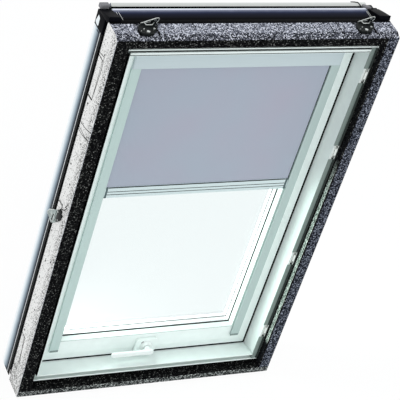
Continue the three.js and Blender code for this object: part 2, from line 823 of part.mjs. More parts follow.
// Moving half: foot on the sash's top edge and an ear round the pin
function hingeArm() {
  const foot = sashFlangeTop + fit;
  const half = armFootLength / 2;
  const base = block(-half, half, armFootFront, armFootBack, foot, foot + armFootSheet);
  const web = block(
    -hingeEar / 2, hingeEar / 2, hingeAxisY - armWeb, hingeAxisY + armWeb / 2, foot, hingeAxisZ,
  );
  const knuckle = cylinderAlongX(hingeKnuckle, -hingeEar / 2, hingeEar / 2, hingeAxisY, hingeAxisZ);
  const bore = cylinderAlongX(hingePin + runningGap, -hingeEar, hingeEar, hingeAxisY, hingeAxisZ);
  return cut(joined(base, web, knuckle), bore);
}

function hingePlates() {
  const group = new THREE.Group();
  for (const [side, sign] of [['left', -1], ['right', 1]]) {
    const plate = part(`hinge_plate_${side}`, hingePlate(), paleSteel);
    plate.position.x = sign * hingeSpread;
    group.add(plate);
  }
  return group;
}

function hingeArms() {
  const group = new THREE.Group();
  for (const [side, sign] of [['left', -1], ['right', 1]]) {
    const arm = part(`hinge_arm_${side}`, hingeArm(), paleSteel);
    arm.position.x = sign * hingeSpread;
    group.add(arm);
  }
  return group;
}

// Striker plates on the frame's sill, under the lock's cams
function strikers() {
  const group = new THREE.Group();
  const half = strikerLength / 2;
  const depth = strikerDepth / 2;
  for (const [side, sign] of [['left', -1], ['right', 1]]) {
    const plate = part(`striker_${side}`, block(-half, half, -depth, depth, 0, strikerSheet), paleSteel);
    plate.position.set(sign * rodCamSpread, rodTrackMiddle, strikerSeat);
    group.add(plate);
  }
  return group;
}

// Sash: mitred bars with a rebate for the glass and a flange that covers the frame
function sashBars() {
  const side = sashSideWidth;
  const end = sashEndWidth;
  const face = sashLand + sashChamfer;
  const sideRebate = side - glassRebate;
  const endRebate = end - glassRebate;
  return mitredBars(surroundRows(sashHalf, sashLow, sashTop, [
    [0, 0, 0, sashFront],
    [sashLand, sashLand, sashLand, sashFront],
    [face, face, face, sashFace],
    [side - beadWidth, end - beadWidth, end - beadWidth, sashFace],
    [side, end, end, sashFace + beadDepth],
    [side, end, end, rebateFace],
    [sideRebate, endRebate, endRebate, rebateFace],
    [sideRebate, endRebate, endRebate, sashBack],
    [-sashFlangeSide, -sashFlangeSide, -sashFlangeHead, sashBack],
    [-sashFlangeSide, -sashFlangeSide, -sashFlangeHead, sashFlangeFront],
    [0, 0, 0, sashFlangeFront],
  ]));
}

// Sash sill with the channel for the rods, the pocket for the gearbox and the spindle's bore
function sashSill(bar) {
  const middle = rodTrackMiddle;
  const below = sashLow - overrun;
  const channel = block(
    -rodReach - fit, rodReach + fit, middle - rodTrackHalf, middle + rodTrackHalf,
    below, sashLow + rodTrack,
  );
  const pocket = block(
    -gearboxHalf - fit, gearboxHalf + fit, gearboxFront - fit, gearboxFront + gearboxDepth + fit,
    below, gearboxLow + gearboxHeight + fit,
  );
  const bore = cylinderAlongY(spindleBore, handleX, sashFace - overrun, gearboxFront + overrun, handleZ);
  return cut(bar, channel, pocket, bore);
}

function sashFrame() {
  const group = new THREE.Group();
  const bars = sashBars();
  group.add(part('sash_head', bars.head, pvc));
  group.add(part('sash_sill', sashSill(bars.sill), pvc));
  group.add(part('sash_stile_left', bars.left, pvc));
  group.add(part('sash_stile_right', bars.right, pvc));
  group.add(part('sash_seal', sashSeal(), rubber));
  return group;
}

// Rubber ring between the sash's flange and the frame's back
function sashSeal() {
  const start = -sealStart;
  const end = -sealStart - sealWidth;
  return ringOf(surroundRows(sashHalf, sashLow, sashTop, [
    [start, start, start, frameBack + fit],
    [end, end, end, frameBack + fit],
    [end, end, end, sashFlangeFront - fit],
    [start, start, start, sashFlangeFront - fit],
  ]));
}

// Glass unit: two panes with a spacer ring, on a gasket in the sash's rebate
function glassUnit() {
  const group = new THREE.Group();
  const side = sashSideWidth - glassRebate + glassPlay;
  const end = sashEndWidth - glassRebate + glassPlay;
  const pane = (y) => block(
    -sashHalf + side, sashHalf - side, y, y + glassSheet, sashLow + end, sashTop - end,
  );
  const sideShow = sashSideWidth + glassGasketShow;
  const endShow = sashEndWidth + glassGasketShow;
  const gasketFront = rebateFace + fit;
  const gasket = ringOf(surroundRows(sashHalf, sashLow, sashTop, [
    [side, end, end, gasketFront],
    [sideShow, endShow, endShow, gasketFront],
    [sideShow, endShow, endShow, gasketFront + glassGasket],
    [side, end, end, gasketFront + glassGasket],
  ]));
  const spacerOuterSide = side + spacerInset;
  const spacerOuterEnd = end + spacerInset;
  const spacerInnerSide = spacerOuterSide + spacerWidth;
  const spacerInnerEnd = spacerOuterEnd + spacerWidth;
  const spacer = ringOf(surroundRows(sashHalf, sashLow, sashTop, [
    [spacerOuterSide, spacerOuterEnd, spacerOuterEnd, spacerFront],
    [spacerInnerSide, spacerInnerEnd, spacerInnerEnd, spacerFront],
    [spacerInnerSide, spacerInnerEnd, spacerInnerEnd, spacerBack],
    [spacerOuterSide, spacerOuterEnd, spacerOuterEnd, spacerBack],
  ]));
  group.add(part('glazing_gasket', gasket, rubber));
  group.add(part('glass_inner', pane(glassFront), glass));
  group.add(part('glass_spacer', spacer, greyAluminium));
  group.add(part('glass_outer', pane(outerPane), glass));
  return group;
}

// Aluminium covers over the sash's weather side
function sashCovers() {
  const group = new THREE.Group();
  const skirt = -sashFlangeSide - fit;
  const headSkirt = -sashFlangeHead - fit;
  const face = sashCoverBack - coverSheet;
  const sideLap = sashSideWidth + sashCoverLap;
  const endLap = sashEndWidth + sashCoverLap;
  const lapFront = outerPane + glassSheet + fit;
  const ribInner = sashCoverRib + coverSheet;
  const bars = mitredBars(surroundRows(sashHalf, sashLow, sashTop, [
    [skirt - coverSheet, skirt - coverSheet, headSkirt - coverSheet, sashCoverBack - sashCoverSkirt],
    [skirt - coverSheet, skirt - coverSheet, headSkirt - coverSheet, sashCoverBack],
    [sideLap, endLap, endLap, sashCoverBack],
    [sideLap, endLap, endLap, lapFront],
    [sideLap - coverSheet, endLap - coverSheet, endLap - coverSheet, lapFront],
    [sideLap - coverSheet, endLap - coverSheet, endLap - coverSheet, face],
    [ribInner, ribInner, ribInner, face],
    [ribInner, ribInner, ribInner, sashBack + fit],
    [sashCoverRib, sashCoverRib, sashCoverRib, sashBack + fit],
    [sashCoverRib, sashCoverRib, sashCoverRib, face],
    [skirt, skirt, headSkirt, face],
    [skirt, skirt, headSkirt, sashCoverBack - sashCoverSkirt],
  ]));
  const notches = [-1, 1].map((sign) => block(
    sign * hingeSpread - armFootLength / 2 - fit, sign * hingeSpread + armFootLength / 2 + fit,
    sashFlangeFront - overrun, armFootBack + fit, sashFlangeTop, sashFlangeTop + overrun,
  ));
  group.add(part('sash_cover_head', cut(bars.head, ...notches), darkAluminium));
  group.add(part('sash_cover_sill', bars.sill, darkAluminium));
  group.add(part('sash_cover_left', bars.left, darkAluminium));
  group.add(part('sash_cover_right', bars.right, darkAluminium));
  return group;
}

// Rectangle with rounded corners about its own middle
function roundedRectangle(width, height, radius) {
  const x = width / 2 - radius;
  const z = height / 2 - radius;
  const shape = new THREE.Shape();
  shape.absarc(x, z, radius, 0, Math.PI / 2);
  shape.absarc(-x, z, radius, Math.PI / 2, Math.PI);
  shape.absarc(-x, -z, radius, Math.PI, 3 * Math.PI / 2);
  shape.absarc(x, -z, radius, 3 * Math.PI / 2, 2 * Math.PI);
  return shape;
}

// Handle: rose on the sash, lever with its neck, square spindle into the lock
function handleRose() {
  const plate = prismAlongY(roundedRectangle(roseWidth, roseHeight, roseCorner), roseFront, roseBack);
  plate.translate(handleX, 0, handleZ);
  return cut(plate, cylinderAlongY(
    neckRadius + runningGap, handleX, roseFront - overrun, roseBack + overrun, handleZ,
  ));
}

function handleLever() {
  const length = leverReach + leverTail;
  const arm = prismAlongY(roundedRectangle(length, leverHeight, leverCorner), leverFront, leverBack);
  arm.translate(handleX + leverTail - length / 2, 0, handleZ);
  const neck = cylinderAlongY(neckRadius, handleX, leverBack - leverThickness / 2, neckBack, handleZ);
  return joined(arm, neck);
}

function handleSpindle() {
  const half = spindleSide / 2;
  return block(
    handleX - half, handleX + half, neckBack + fit, gearboxFront + gearboxDepth - fit,
    handleZ - half, handleZ + half,
  );
}

// Lock in the sash sill: gearbox round the spindle and two rods with cams
function lockGearbox() {
  const back = gearboxFront + gearboxDepth;
  const casing = block(
    -gearboxHalf, gearboxHalf, gearboxFront, back, gearboxLow, gearboxLow + gearboxHeight,
  );
  return cut(casing, cylinderAlongY(
    spindleBore, handleX, gearboxFront - overrun, back + overrun, handleZ,
  ));
}

function lockRod(sign) {
  const lane = rodTrackMiddle + sign * rodLane;
  const x0 = Math.min(-sign * rodOverlap, sign * rodReach);
  const x1 = Math.max(-sign * rodOverlap, sign * rodReach);
  const camLow = strikerSeat + strikerSheet + rodCamClear;
  const rod = block(x0, x1, lane - rodWidth / 2, lane + rodWidth / 2, rodLow, rodLow + rodWidth);
  const cam = cylinderAlongZ(rodCam, sign * rodCamSpread, lane, camLow, rodLow + rodWidth / 2);
  return joined(rod, cam);
}

// Blind: cassette with its caps, side rails, roller, fabric and pull bar
function cassetteOutline() {
  return [
    [cassetteFront, cassetteLow], [cassetteFront, shoulderZ],
    [cassetteBulge + cassetteShoulderStep, shoulderZ + cassetteShoulderRise],
    [cassetteBulge, shoulderZ + cassetteShoulderRise + cassetteShoulderLip],
    [cassetteBulge, cassetteTop], [blindBack, cassetteTop], [blindBack, cassetteLow],
  ];
}

function cassetteHousing() {
  const wall = cassetteWall;
  const inner = [
    [blindBack - wall, cassetteLow], [blindBack - wall, cassetteTop - wall],
    [cassetteBulge + wall, cassetteTop - wall],
    [cassetteBulge + wall, shoulderZ + cassetteShoulderRise + cassetteShoulderLip],
    [cassetteBulge + cassetteShoulderStep + wall, shoulderZ + cassetteShoulderRise + wall],
    [cassetteFront + wall, shoulderZ + wall], [cassetteFront + wall, cassetteLow],
  ];
  return prismAlongX(outline([...cassetteOutline(), ...inner]), -cassetteHalf, cassetteHalf);
}

function cassetteCapRight() {
  const start = cassetteHalf + fit;
  const plate = prismAlongX(outline(cassetteOutline()), start, start + cassetteCap);
  const bossStart = rollerHalf + bossGap;
  const boss = cylinderAlongX(bossRadius, bossStart, start + cassetteCap / 2, rollerY, rollerZ);
  const bore = cylinderAlongX(
    rollerPinRadius + runningGap, bossStart - overrun, start, rollerY, rollerZ,
  );
  return cut(joined(plate, boss), bore);
}

function railRight() {
  const x0 = fabricHalf + railPlay;
  const wallBack = blindBack - railWall;
  const wallFront = railFront + railWall + fit;
  return prismAlongZ(outline([
    [x0, railFront], [x0 + railWidth, railFront], [x0 + railWidth, blindBack], [x0, blindBack],
    [x0, wallBack], [x0 + railSlotDepth, wallBack], [x0 + railSlotDepth, wallFront], [x0, wallFront],
  ]), sashLow + railFoot, cassetteLow - fit);
}

function cassetteAndRails() {
  const group = new THREE.Group();
  const cap = cassetteCapRight();
  const rail = railRight();
  group.add(part('cassette_housing', cassetteHousing(), cassetteAluminium));
  group.add(part('cassette_cap_right', cap, handlePlastic));
  group.add(part('cassette_cap_left', mirroredX(cap), handlePlastic));
  group.add(part('rail_right', rail, railAluminium));
  group.add(part('rail_left', mirroredX(rail), railAluminium));
  group.add(part('roller_spring', rollerSpring(), steel));
  return group;
}

// Spring unit in the roller's left end, with its fixed shaft in the left cap
function rollerSpring() {
  const shoulder = -rollerHalf + springGap;
  return turnedAlongX([
    [-rollerHalf - rollerPinReach, 0], [-rollerHalf - rollerPinReach, rollerPinRadius],
    [shoulder, rollerPinRadius], [shoulder, springRadius],
    [shoulder + springLength, springRadius], [shoulder + springLength, 0],
  ], rollerY, rollerZ);
}

// Tube that is open at the left and has a pin at the right
function rollerTube() {
  const plug = rollerHalf - rollerPlug;
  return turnedAlongX([
    [plug, 0], [plug, rollerBore], [-rollerHalf, rollerBore], [-rollerHalf, rollerRadius],
    [rollerHalf, rollerRadius], [rollerHalf, rollerPinRadius],
    [rollerHalf + rollerPinReach, rollerPinRadius], [rollerHalf + rollerPinReach, 0],
  ], rollerY, rollerZ);
}

function fabricRoll() {
  const inner = rollerRadius + fit;
  return turnedAlongX([
    [-fabricHalf, inner], [-fabricHalf, rollRadius], [fabricHalf, rollRadius], [fabricHalf, inner],
    [-fabricHalf, inner],
  ], rollerY, rollerZ);
}

function blindFabric() {
  const back = fabricFront + fabricThickness;
  return block(-fabricHalf, fabricHalf, fabricFront, back, barTop + fit, rollerZ);
}

function pullBar() {
  const half = fabricHalf - barEndGap;
  const back = barFront + barThickness;
  const groove = barFront + barGroove;
  const face = [barGrooveLow, barGrooveHigh].flatMap((z) => [
    [barFront, barBottom + z], [groove, barBottom + z],
    [groove, barBottom + z + barGrooveHeight], [barFront, barBottom + z + barGrooveHeight],
  ]);
  const profile = [
    [barFront, barBottom], ...face, [barFront, barTop], [back, barTop], [back, barBottom],
  ];
  const bar = prismAlongX(outline(profile), -half, half);
  const spineHalf = openingHalf - spineInset;
  const spine = block(
    -spineHalf, spineHalf, back - barThickness / 2, back + spineDepth,
    barBottom + spineMargin, barTop - spineMargin,
  );
  const gliderFront = railFront + railWall + fit + fit;
  const gliderBack = blindBack - railWall - fit;
  const gliders = [-1, 1].map((sign) => block(
    Math.min(sign * (half - gliderRoot), sign * (half + gliderReach)),
    Math.max(sign * (half - gliderRoot), sign * (half + gliderReach)),
    gliderFront, gliderBack, barBottom + gliderMargin, barTop - gliderMargin,
  ));
  return joined(bar, spine, ...gliders);
}

function frameGroup() {
  const group = new THREE.Group();
  group.add(insulation());
  group.add(fixedFrame());
  group.add(part('perimeter_gasket', perimeterGasket(), rubber));
  group.add(weatherCovers());
  group.add(hoodPieces());
  group.add(roofBrackets());
  group.add(hingePlates());
  group.add(strikers());
  return group;
}

function sashGroup() {
  const group = new THREE.Group();
  group.add(sashFrame());
  group.add(glassUnit());
  group.add(sashCovers());
  group.add(hingeArms());
  group.add(part('handle_rose', handleRose(), handlePlastic));
  group.add(part('lock_gearbox', lockGearbox(), steel));
  group.add(cassetteAndRails());
  return group;
}

function movingGroup() {
  const group = new THREE.Group();
  group.add(part('handle_lever', handleLever(), handlePlastic));
  group.add(part('handle_spindle', handleSpindle(), steel));
  group.add(part('lock_rod_left', lockRod(-1), paleSteel));
  group.add(part('lock_rod_right', lockRod(1), paleSteel));
  group.add(part('roller_tube', rollerTube(), greyAluminium));
  group.add(part('fabric_roll', fabricRoll(), cloth));
  group.add(part('blind_fabric', blindFabric(), cloth));
  group.add(part('pull_bar', pullBar(), barAluminium));
  return group;
}

const roofWindow = new THREE.Group();
roofWindow.add(frameGroup(), sashGroup(), movingGroup());
roofWindow.position.y = -coverBack / 2;

export default roofWindow;
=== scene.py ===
"""Roof window with a roller blind: its finishes, fine pieces, camera and light."""

import math

import bmesh
import bpy
from bpy.props import FloatProperty, FloatVectorProperty, PointerProperty, StringProperty
from mathutils import Euler, Matrix, Vector


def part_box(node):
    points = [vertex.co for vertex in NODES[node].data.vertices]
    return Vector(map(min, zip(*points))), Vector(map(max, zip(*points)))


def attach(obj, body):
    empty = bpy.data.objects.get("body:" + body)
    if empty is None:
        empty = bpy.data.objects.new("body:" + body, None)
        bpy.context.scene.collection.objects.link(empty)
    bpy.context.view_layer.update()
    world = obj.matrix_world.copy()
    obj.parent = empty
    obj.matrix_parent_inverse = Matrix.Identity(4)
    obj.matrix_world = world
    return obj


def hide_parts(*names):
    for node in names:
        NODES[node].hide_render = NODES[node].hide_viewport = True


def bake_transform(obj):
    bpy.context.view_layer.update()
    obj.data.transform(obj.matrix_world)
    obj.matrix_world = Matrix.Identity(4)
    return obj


bl_info = {
    "name": "Roof Window With Blind",
    "version": (1, 0, 0),
    "blender": (4, 5, 0),
    "location": "View3D > Sidebar > Roof Window",
    "description": "Finishes and fine pieces of a roof window with a roller blind",
    "category": "Add Mesh",
}

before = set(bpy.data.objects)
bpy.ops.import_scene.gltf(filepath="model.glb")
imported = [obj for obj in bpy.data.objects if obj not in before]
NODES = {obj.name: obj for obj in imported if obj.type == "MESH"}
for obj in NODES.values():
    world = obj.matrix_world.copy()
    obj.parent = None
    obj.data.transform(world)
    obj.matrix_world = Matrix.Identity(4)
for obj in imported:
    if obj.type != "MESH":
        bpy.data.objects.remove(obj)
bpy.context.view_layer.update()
MM = 0.001
SIDES = ("right", "left")

# Places taken from the frame
COLLAR_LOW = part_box("insulation_bottom_left")[0]
COLLAR_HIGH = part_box("insulation_top_right")[1]
LINER_LOW, LINER_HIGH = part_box("groove_liner")
GASKET_LOW, GASKET_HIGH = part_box("perimeter_gasket")
COVER_LOW, COVER_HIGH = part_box("cover_right")
HOOD_LOW, HOOD_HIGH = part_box("hood")
CAP_LOW, CAP_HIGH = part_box("hood_cap_right")
RAIL_LOW, RAIL_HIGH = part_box("rail_right")
FABRIC_LOW, FABRIC_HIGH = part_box("blind_fabric")
ROSE_LOW, ROSE_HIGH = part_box("handle_rose")
ROLL_LOW, ROLL_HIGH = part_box("fabric_roll")
PLATE_LOW, PLATE_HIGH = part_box("bracket_side_right")
LEVER_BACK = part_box("handle_lever")[1].y

# How near two points are to count as one, and how far apart the turns of two faces are at a sharp edge
WELD, NODE_WELD = 0.005 * MM, 0.002 * MM
FLAT, SHARP = math.radians(0.5), math.radians(30)

# Linear colours of the even light and of the floor, and the direction that the lamp behind the glass shines in
DAYLIGHT, WHITE, FLOOR = (0.955, 0.985, 1.0, 1.0), (1.0, 1.0, 1.0, 1.0), (0.9, 0.9, 0.9, 1.0)
LAMP_SIZE, LAMP_PLACE, LAMP_AIM = (0.35, 0.6), (-230, 250, 360), (0.88, -0.47, 0.0)


def at(x, y, z):
    """A point from millimetres: x across, y behind the collar's front, z above its foot."""
    return Vector((x * MM, COLLAR_LOW.y + y * MM, COLLAR_LOW.z + z * MM))


def deep(y):
    """A depth behind the collar's front, from millimetres."""
    return at(0, y, 0).y


def level(z):
    """A height above the collar's foot, from millimetres."""
    return at(0, 0, z).z


def path(pairs, **shared):
    """Points from pairs in millimetres, where the x, y or z that they share is given in metres."""
    (axis, value), = shared.items()
    index = "xyz".index(axis)
    points = [at(*pair[:index], 0, *pair[index:]) for pair in pairs]
    for point in points:
        point[index] = value
    return points


def circle(count):
    """The turns of points spaced evenly around a circle."""
    return [math.tau * i / count for i in range(count)]


def hex_colour(name, text, description):
    """A colour setting, kept as an sRGB hex value."""
    return StringProperty(name=name, default=text, description=description)


def length(name, value_mm, description):
    """A length setting given in millimetres."""
    return FloatProperty(name=name, default=value_mm * MM, unit="LENGTH", precision=5, description=description)


class FoamSettings(bpy.types.PropertyGroup):
    bead: length("Bead", 2.4, "Size of one foam bead")
    edge: length("Edge", 1.3, "Rounding of the moulded edges")
    vent: length("Vent", 6.5, "Width of the steam vents' marks")
    vent_depth: length("Vent depth", 2.0, "Depth of the steam vents' marks")
    # One graphite foam in painted light and shade: painted light on the sides, weaker on the top, partly painted shade
    # on the front, painted light on the bluer right front.
    pale: hex_colour("Pale side", "#efedeb", "Outer sides, the pale moulded skin")
    top: hex_colour("Top", "#8d91a0", "Top")
    front: hex_colour("Front", "#1a1b1c", "Front edge, graphite")
    blue: hex_colour("Blue grey", "#414552", "Front edge of the right side")


class FrameSettings(bpy.types.PropertyGroup):
    edge: length("Edge", 0.7, "Rounding of the profiles' edges")
    white: hex_colour("White", "#eef7f4", "Extruded white profiles")
    # The dark strip's tone is painted shade in the head's and the right groove.
    strip_dark: hex_colour("Dark strip", "#6f7876", "Strip in the head's and the right groove")
    strip_pale: hex_colour("Pale strip", "#c6d0cc", "Strip in the sill's groove")
    seal: hex_colour("Seal", "#7c8a85", "Seal over the right groove")


class BlindSettings(bpy.types.PropertyGroup):
    weave: length("Weave", 0.9, "Thread spacing of the cloth")
    cloth: hex_colour("Cloth", "#a9a9b8", "Blackout cloth")
    rail: hex_colour("Rail", "#bfd3cf", "Side rails")
    cassette: hex_colour("Cassette", "#c6d3d7", "Cassette")
    bar: hex_colour("Bar", "#c5d3d4", "Pull bar")


class WeatherSettings(bpy.types.PropertyGroup):
    edge: length("Edge", 1.0, "Rounding of the sheet's folds")
    curve: length("Curve", 6.0, "How far the side covers curve in towards their back")
    curve_depth: length("Curve depth", 30.0, "Depth of the side covers' curve")
    # The pale bead is a painted highlight along the gasket.
    bead: length("Bead", 2.2, "Width of the pale sealing bead")
    navy: hex_colour("Navy", "#151a30", "Coated aluminium of the hood")
    black: hex_colour("Black", "#0b0c11", "Moulded caps")
    grey: hex_colour("Grey", "#7a8088", "Coated aluminium of the sash's covers")


class HandleSettings(bpy.types.PropertyGroup):
    edge: length("Edge", 2.0, "Rounding of the rose's edge")
    white: hex_colour("White", "#e9efed", "Moulded handle")


class StageSettings(bpy.types.PropertyGroup):
    lens: FloatProperty(name="Lens", default=159.86, unit="CAMERA", description="Focal length in millimetres")
    sensor: FloatProperty(name="Sensor", default=36.0, unit="CAMERA", description="Sensor width in millimetres")
    place: FloatVectorProperty(
        name="Place", default=(-2.1778, -3.2772, 3.6289), subtype="XYZ", unit="LENGTH",
        description="Where the camera stands",
    )
    right: FloatVectorProperty(
        name="Right", default=(0.89397, -0.36688, 0.25732), subtype="DIRECTION",
        description="Direction that the picture's width runs in",
    )
    up: FloatVectorProperty(
        name="Up", default=(0.05029, 0.65273, 0.75592), subtype="DIRECTION",
        description="Direction that the picture's height runs in",
    )
    world: FloatProperty(name="World", default=1.12, description="Strength of the even light")
    back_light: FloatProperty(name="Back light", default=10.0, description="Power of the light behind the glass")


# Materials
def linear(text):
    """An sRGB hex value as the linear colour that shaders use."""
    channels = [int(text[i:i + 2], 16) / 255 for i in (1, 3, 5)]
    return tuple(c / 12.92 if c <= 0.04045 else ((c + 0.055) / 1.055) ** 2.4 for c in channels) + (1.0,)


def shade(text, factor):
    """A hex value made darker or lighter by a factor."""
    channels = [min(255, round(int(text[i:i + 2], 16) * factor)) for i in (1, 3, 5)]
    return "#" + "".join(f"{c:02x}" for c in channels)


def feed(node, inputs):
    """Gives a node's sockets values, or links where the value is a socket of another node."""
    for socket, value in inputs.items():
        if isinstance(value, bpy.types.NodeSocket):
            node.id_data.links.new(value, node.inputs[socket])
        else:
            node.inputs[socket].default_value = value


def add(tree, kind, inputs=None, stops=None, **settings):
    """Adds one node with its settings, its inputs as values or links, and a ramp's stops."""
    node = tree.nodes.new(kind)
    for name, value in settings.items():
        setattr(node, name, value)
    feed(node, inputs or {})
    if stops:
        elements = node.color_ramp.elements
        while len(elements) < len(stops):
            elements.new(1.0)
        for element, (position, text) in zip(elements, stops):
            element.position, element.color = position, linear(text)
    return node


def new_look(name):
    """A node material with its tree, its Principled shader and its Object coordinates."""
    look = bpy.data.materials.new(name)
    look.use_nodes = True
    tree = look.node_tree
    return look, tree, tree.nodes["Principled BSDF"], add(tree, "ShaderNodeTexCoord").outputs["Object"]


def coat(shader, tint, stops, dent, gloss=None, values=None):
    """Feeds a shader its colour, a ramp of stops over the socket tint, a dent as (height, strength, depth),
    a roughness that follows a texture as (socket, smoothest, roughest), and uniform values."""
    tree = shader.id_data
    colour = add(tree, "ShaderNodeValToRGB", {"Fac": tint}, stops)
    bump = add(tree, "ShaderNodeBump", dict(zip(("Height", "Strength", "Distance"), dent)))
    feed(shader, {"Base Color": colour.outputs["Color"], "Normal": bump.outputs["Normal"], **(values or {})})
    if gloss:
        rough = add(tree, "ShaderNodeMapRange", dict(zip(("Value", "To Min", "To Max"), gloss)))
        feed(shader, {"Roughness": rough.outputs["Result"]})


def mix_out(tree, output, share, first, second):
    """Sends a mix of two shaders to an output node."""
    mix = add(tree, "ShaderNodeMixShader", {0: share, 1: first, 2: second})
    feed(tree.nodes[output], {"Surface": mix.outputs["Shader"]})


def blend_zone(tree, place, zones):
    """How far a point lies inside zones, each an axis and the places where it starts and is full."""
    axes = add(tree, "ShaderNodeSeparateXYZ", {"Vector": place})
    share = 0.0
    for axis, start, full in zones:
        zone = add(tree, "ShaderNodeMapRange", {"Value": axes.outputs[axis], "From Min": start, "From Max": full})
        share = add(tree, "ShaderNodeMath", {0: zone.outputs["Result"], 1: share}, operation="MAXIMUM").outputs["Value"]
    return share


def moulded_foam(name, bead, tones, zone_tones=None, zones=()):
    """EPS, steam moulded: each bead has a tone of its own, with fine dents between beads.
    Inside the zones the beads have other tones: painted light, painted shade, and bands darker towards some edges."""
    look, tree, shader, place = new_look(name)
    beads = add(tree, "ShaderNodeTexVoronoi", {"Vector": place, "Scale": 1 / bead}).outputs
    tone = add(tree, "ShaderNodeSeparateColor", {"Color": beads["Color"]}).outputs["Red"]
    colour = add(tree, "ShaderNodeValToRGB", {"Fac": tone}, tones).outputs["Color"]
    if zones:
        other = add(tree, "ShaderNodeValToRGB", {"Fac": tone}, zone_tones).outputs["Color"]
        share = blend_zone(tree, place, zones)
        colour = add(tree, "ShaderNodeMix", {0: share, 6: colour, 7: other}, data_type="RGBA").outputs[2]
    dent = add(tree, "ShaderNodeBump", {
        "Height": beads["Distance"], "Strength": 0.4, "Distance": bead / 10,
    }, invert=True)
    feed(shader, {
        "Base Color": colour, "Normal": dent.outputs["Normal"], "Roughness": 0.9, "Specular IOR Level": 0.0,
    })
    return look


def extruded_plastic(name, text, roughness=0.32):
    """uPVC or ABS: an even white with a soft gloss, a faint cloudiness and a fine grain."""
    look, tree, shader, place = new_look(name)
    cloud = add(tree, "ShaderNodeTexNoise", {"Vector": place, "Scale": 1 / (30 * MM), "Detail": 3.0}).outputs["Fac"]
    grain = add(tree, "ShaderNodeTexNoise", {"Vector": place, "Scale": 1 / (0.7 * MM), "Detail": 2.0}).outputs["Fac"]
    coat(
        shader, cloud, [(0.3, shade(text, 0.98)), (0.7, text)], (grain, 0.08, 0.2 * MM),
        (cloud, roughness - 0.05, roughness + 0.08),
    )
    return look


def drawn_aluminium(name, text, along, metallic=0.2, roughness=0.38):
    """Aluminium, extruded and coated: fine draw lines along the profile under a satin coat."""
    look, tree, shader, place = new_look(name)
    fine, long = 1 / (0.8 * MM), 1 / (90 * MM)
    scale = [long if axis == along else fine for axis in "XYZ"]
    stretched = add(tree, "ShaderNodeMapping", {"Vector": place, "Scale": scale}).outputs["Vector"]
    lines = add(tree, "ShaderNodeTexNoise", {"Vector": stretched, "Scale": 1.0, "Detail": 3.0}).outputs["Fac"]
    coat(
        shader, lines, [(0.3, shade(text, 0.96)), (0.7, text)], (lines, 0.06, 0.1 * MM),
        (lines, roughness - 0.06, roughness + 0.08), {"Metallic": metallic},
    )
    return look


def painted_metal(name, stops, low, high, roughness=0.3):
    """Coated sheet aluminium: glossy paint with faint dust, and a painted reflection that makes it paler towards its
    outer fold.
    The stops run over the depth from low to high."""
    look, tree, shader, place = new_look(name)
    axes = add(tree, "ShaderNodeSeparateXYZ", {"Vector": place}).outputs
    depth = add(tree, "ShaderNodeMapRange", {"Value": axes["Y"], "From Min": low, "From Max": high}).outputs["Result"]
    dust = add(tree, "ShaderNodeTexNoise", {
        "Vector": place, "Scale": 1 / (25 * MM), "Detail": 5.0, "Roughness": 0.65,
    }).outputs["Fac"]
    drift = add(tree, "ShaderNodeMath", {0: dust, 1: 0.08, 2: -0.04}, operation="MULTIPLY_ADD").outputs["Value"]
    reach = add(tree, "ShaderNodeMath", {0: depth, 1: drift}, operation="ADD").outputs["Value"]
    peel = add(tree, "ShaderNodeTexNoise", {"Vector": place, "Scale": 1 / (2.5 * MM), "Detail": 2.0}).outputs["Fac"]
    coat(
        shader, reach, stops, (peel, 0.04, 0.2 * MM), (dust, roughness - 0.05, roughness + 0.12),
        {"Specular IOR Level": 0.03},
    )
    return look


def zinc_steel(name, text, roughness=0.38):
    """Sheet steel, zinc plated: a bright metal with cloudy spangles and small scratches."""
    look, tree, shader, place = new_look(name)
    cloud = add(tree, "ShaderNodeTexVoronoi", {"Vector": place, "Scale": 1 / (7 * MM)}).outputs["Color"]
    tone = add(tree, "ShaderNodeSeparateColor", {"Color": cloud}).outputs["Red"]
    wear = add(tree, "ShaderNodeTexNoise", {"Vector": place, "Scale": 1 / (1.5 * MM), "Detail": 4.0}).outputs["Fac"]
    coat(
        shader, tone, [(0.0, shade(text, 0.82)), (1.0, text)], (wear, 0.1, 0.15 * MM),
        (wear, roughness - 0.1, roughness + 0.15), {"Metallic": 0.85},
    )
    return look


def dull_rubber(name, text, roughness=0.6):
    """EPDM rubber or rough moulded plastic: a dull sheen and a fine grain."""
    look, tree, shader, place = new_look(name)
    grain = add(tree, "ShaderNodeTexNoise", {"Vector": place, "Scale": 1 / (1.2 * MM), "Detail": 3.0}).outputs["Fac"]
    coat(
        shader, grain, [(0.35, shade(text, 0.8)), (0.7, shade(text, 1.15))], (grain, 0.25, 0.2 * MM),
        values={"Roughness": roughness, "Specular IOR Level": 0.02},
    )
    return look


def blackout_cloth(name, text, weave):
    """Polyester blackout cloth, plain weave with a coated back: crossing threads and a dry sheen.
    The threads are drawn about three times as wide as real ones, so that they show."""
    look, tree, shader, place = new_look(name)
    threads = {"Vector": place, "Scale": math.tau / (20 * weave), "Distortion": 0.5}
    warp, weft = [add(tree, "ShaderNodeTexWave", threads, bands_direction=axis).outputs["Fac"] for axis in "XZ"]
    cross = add(tree, "ShaderNodeMath", {0: warp, 1: weft}, operation="MULTIPLY").outputs["Value"]
    slub = add(tree, "ShaderNodeTexNoise", {"Vector": place, "Scale": 1 / (220 * MM), "Detail": 2.0}).outputs["Fac"]
    mixed = add(tree, "ShaderNodeMath", {0: cross, 1: 0.12, 2: slub}, operation="MULTIPLY_ADD").outputs["Value"]
    coat(
        shader, mixed, [(0.3, shade(text, 0.99)), (0.75, "#a2acb9")], (cross, 0.15, 0.1 * MM),
        values={"Roughness": 0.85, "Sheen Weight": 0.1},
    )
    return look


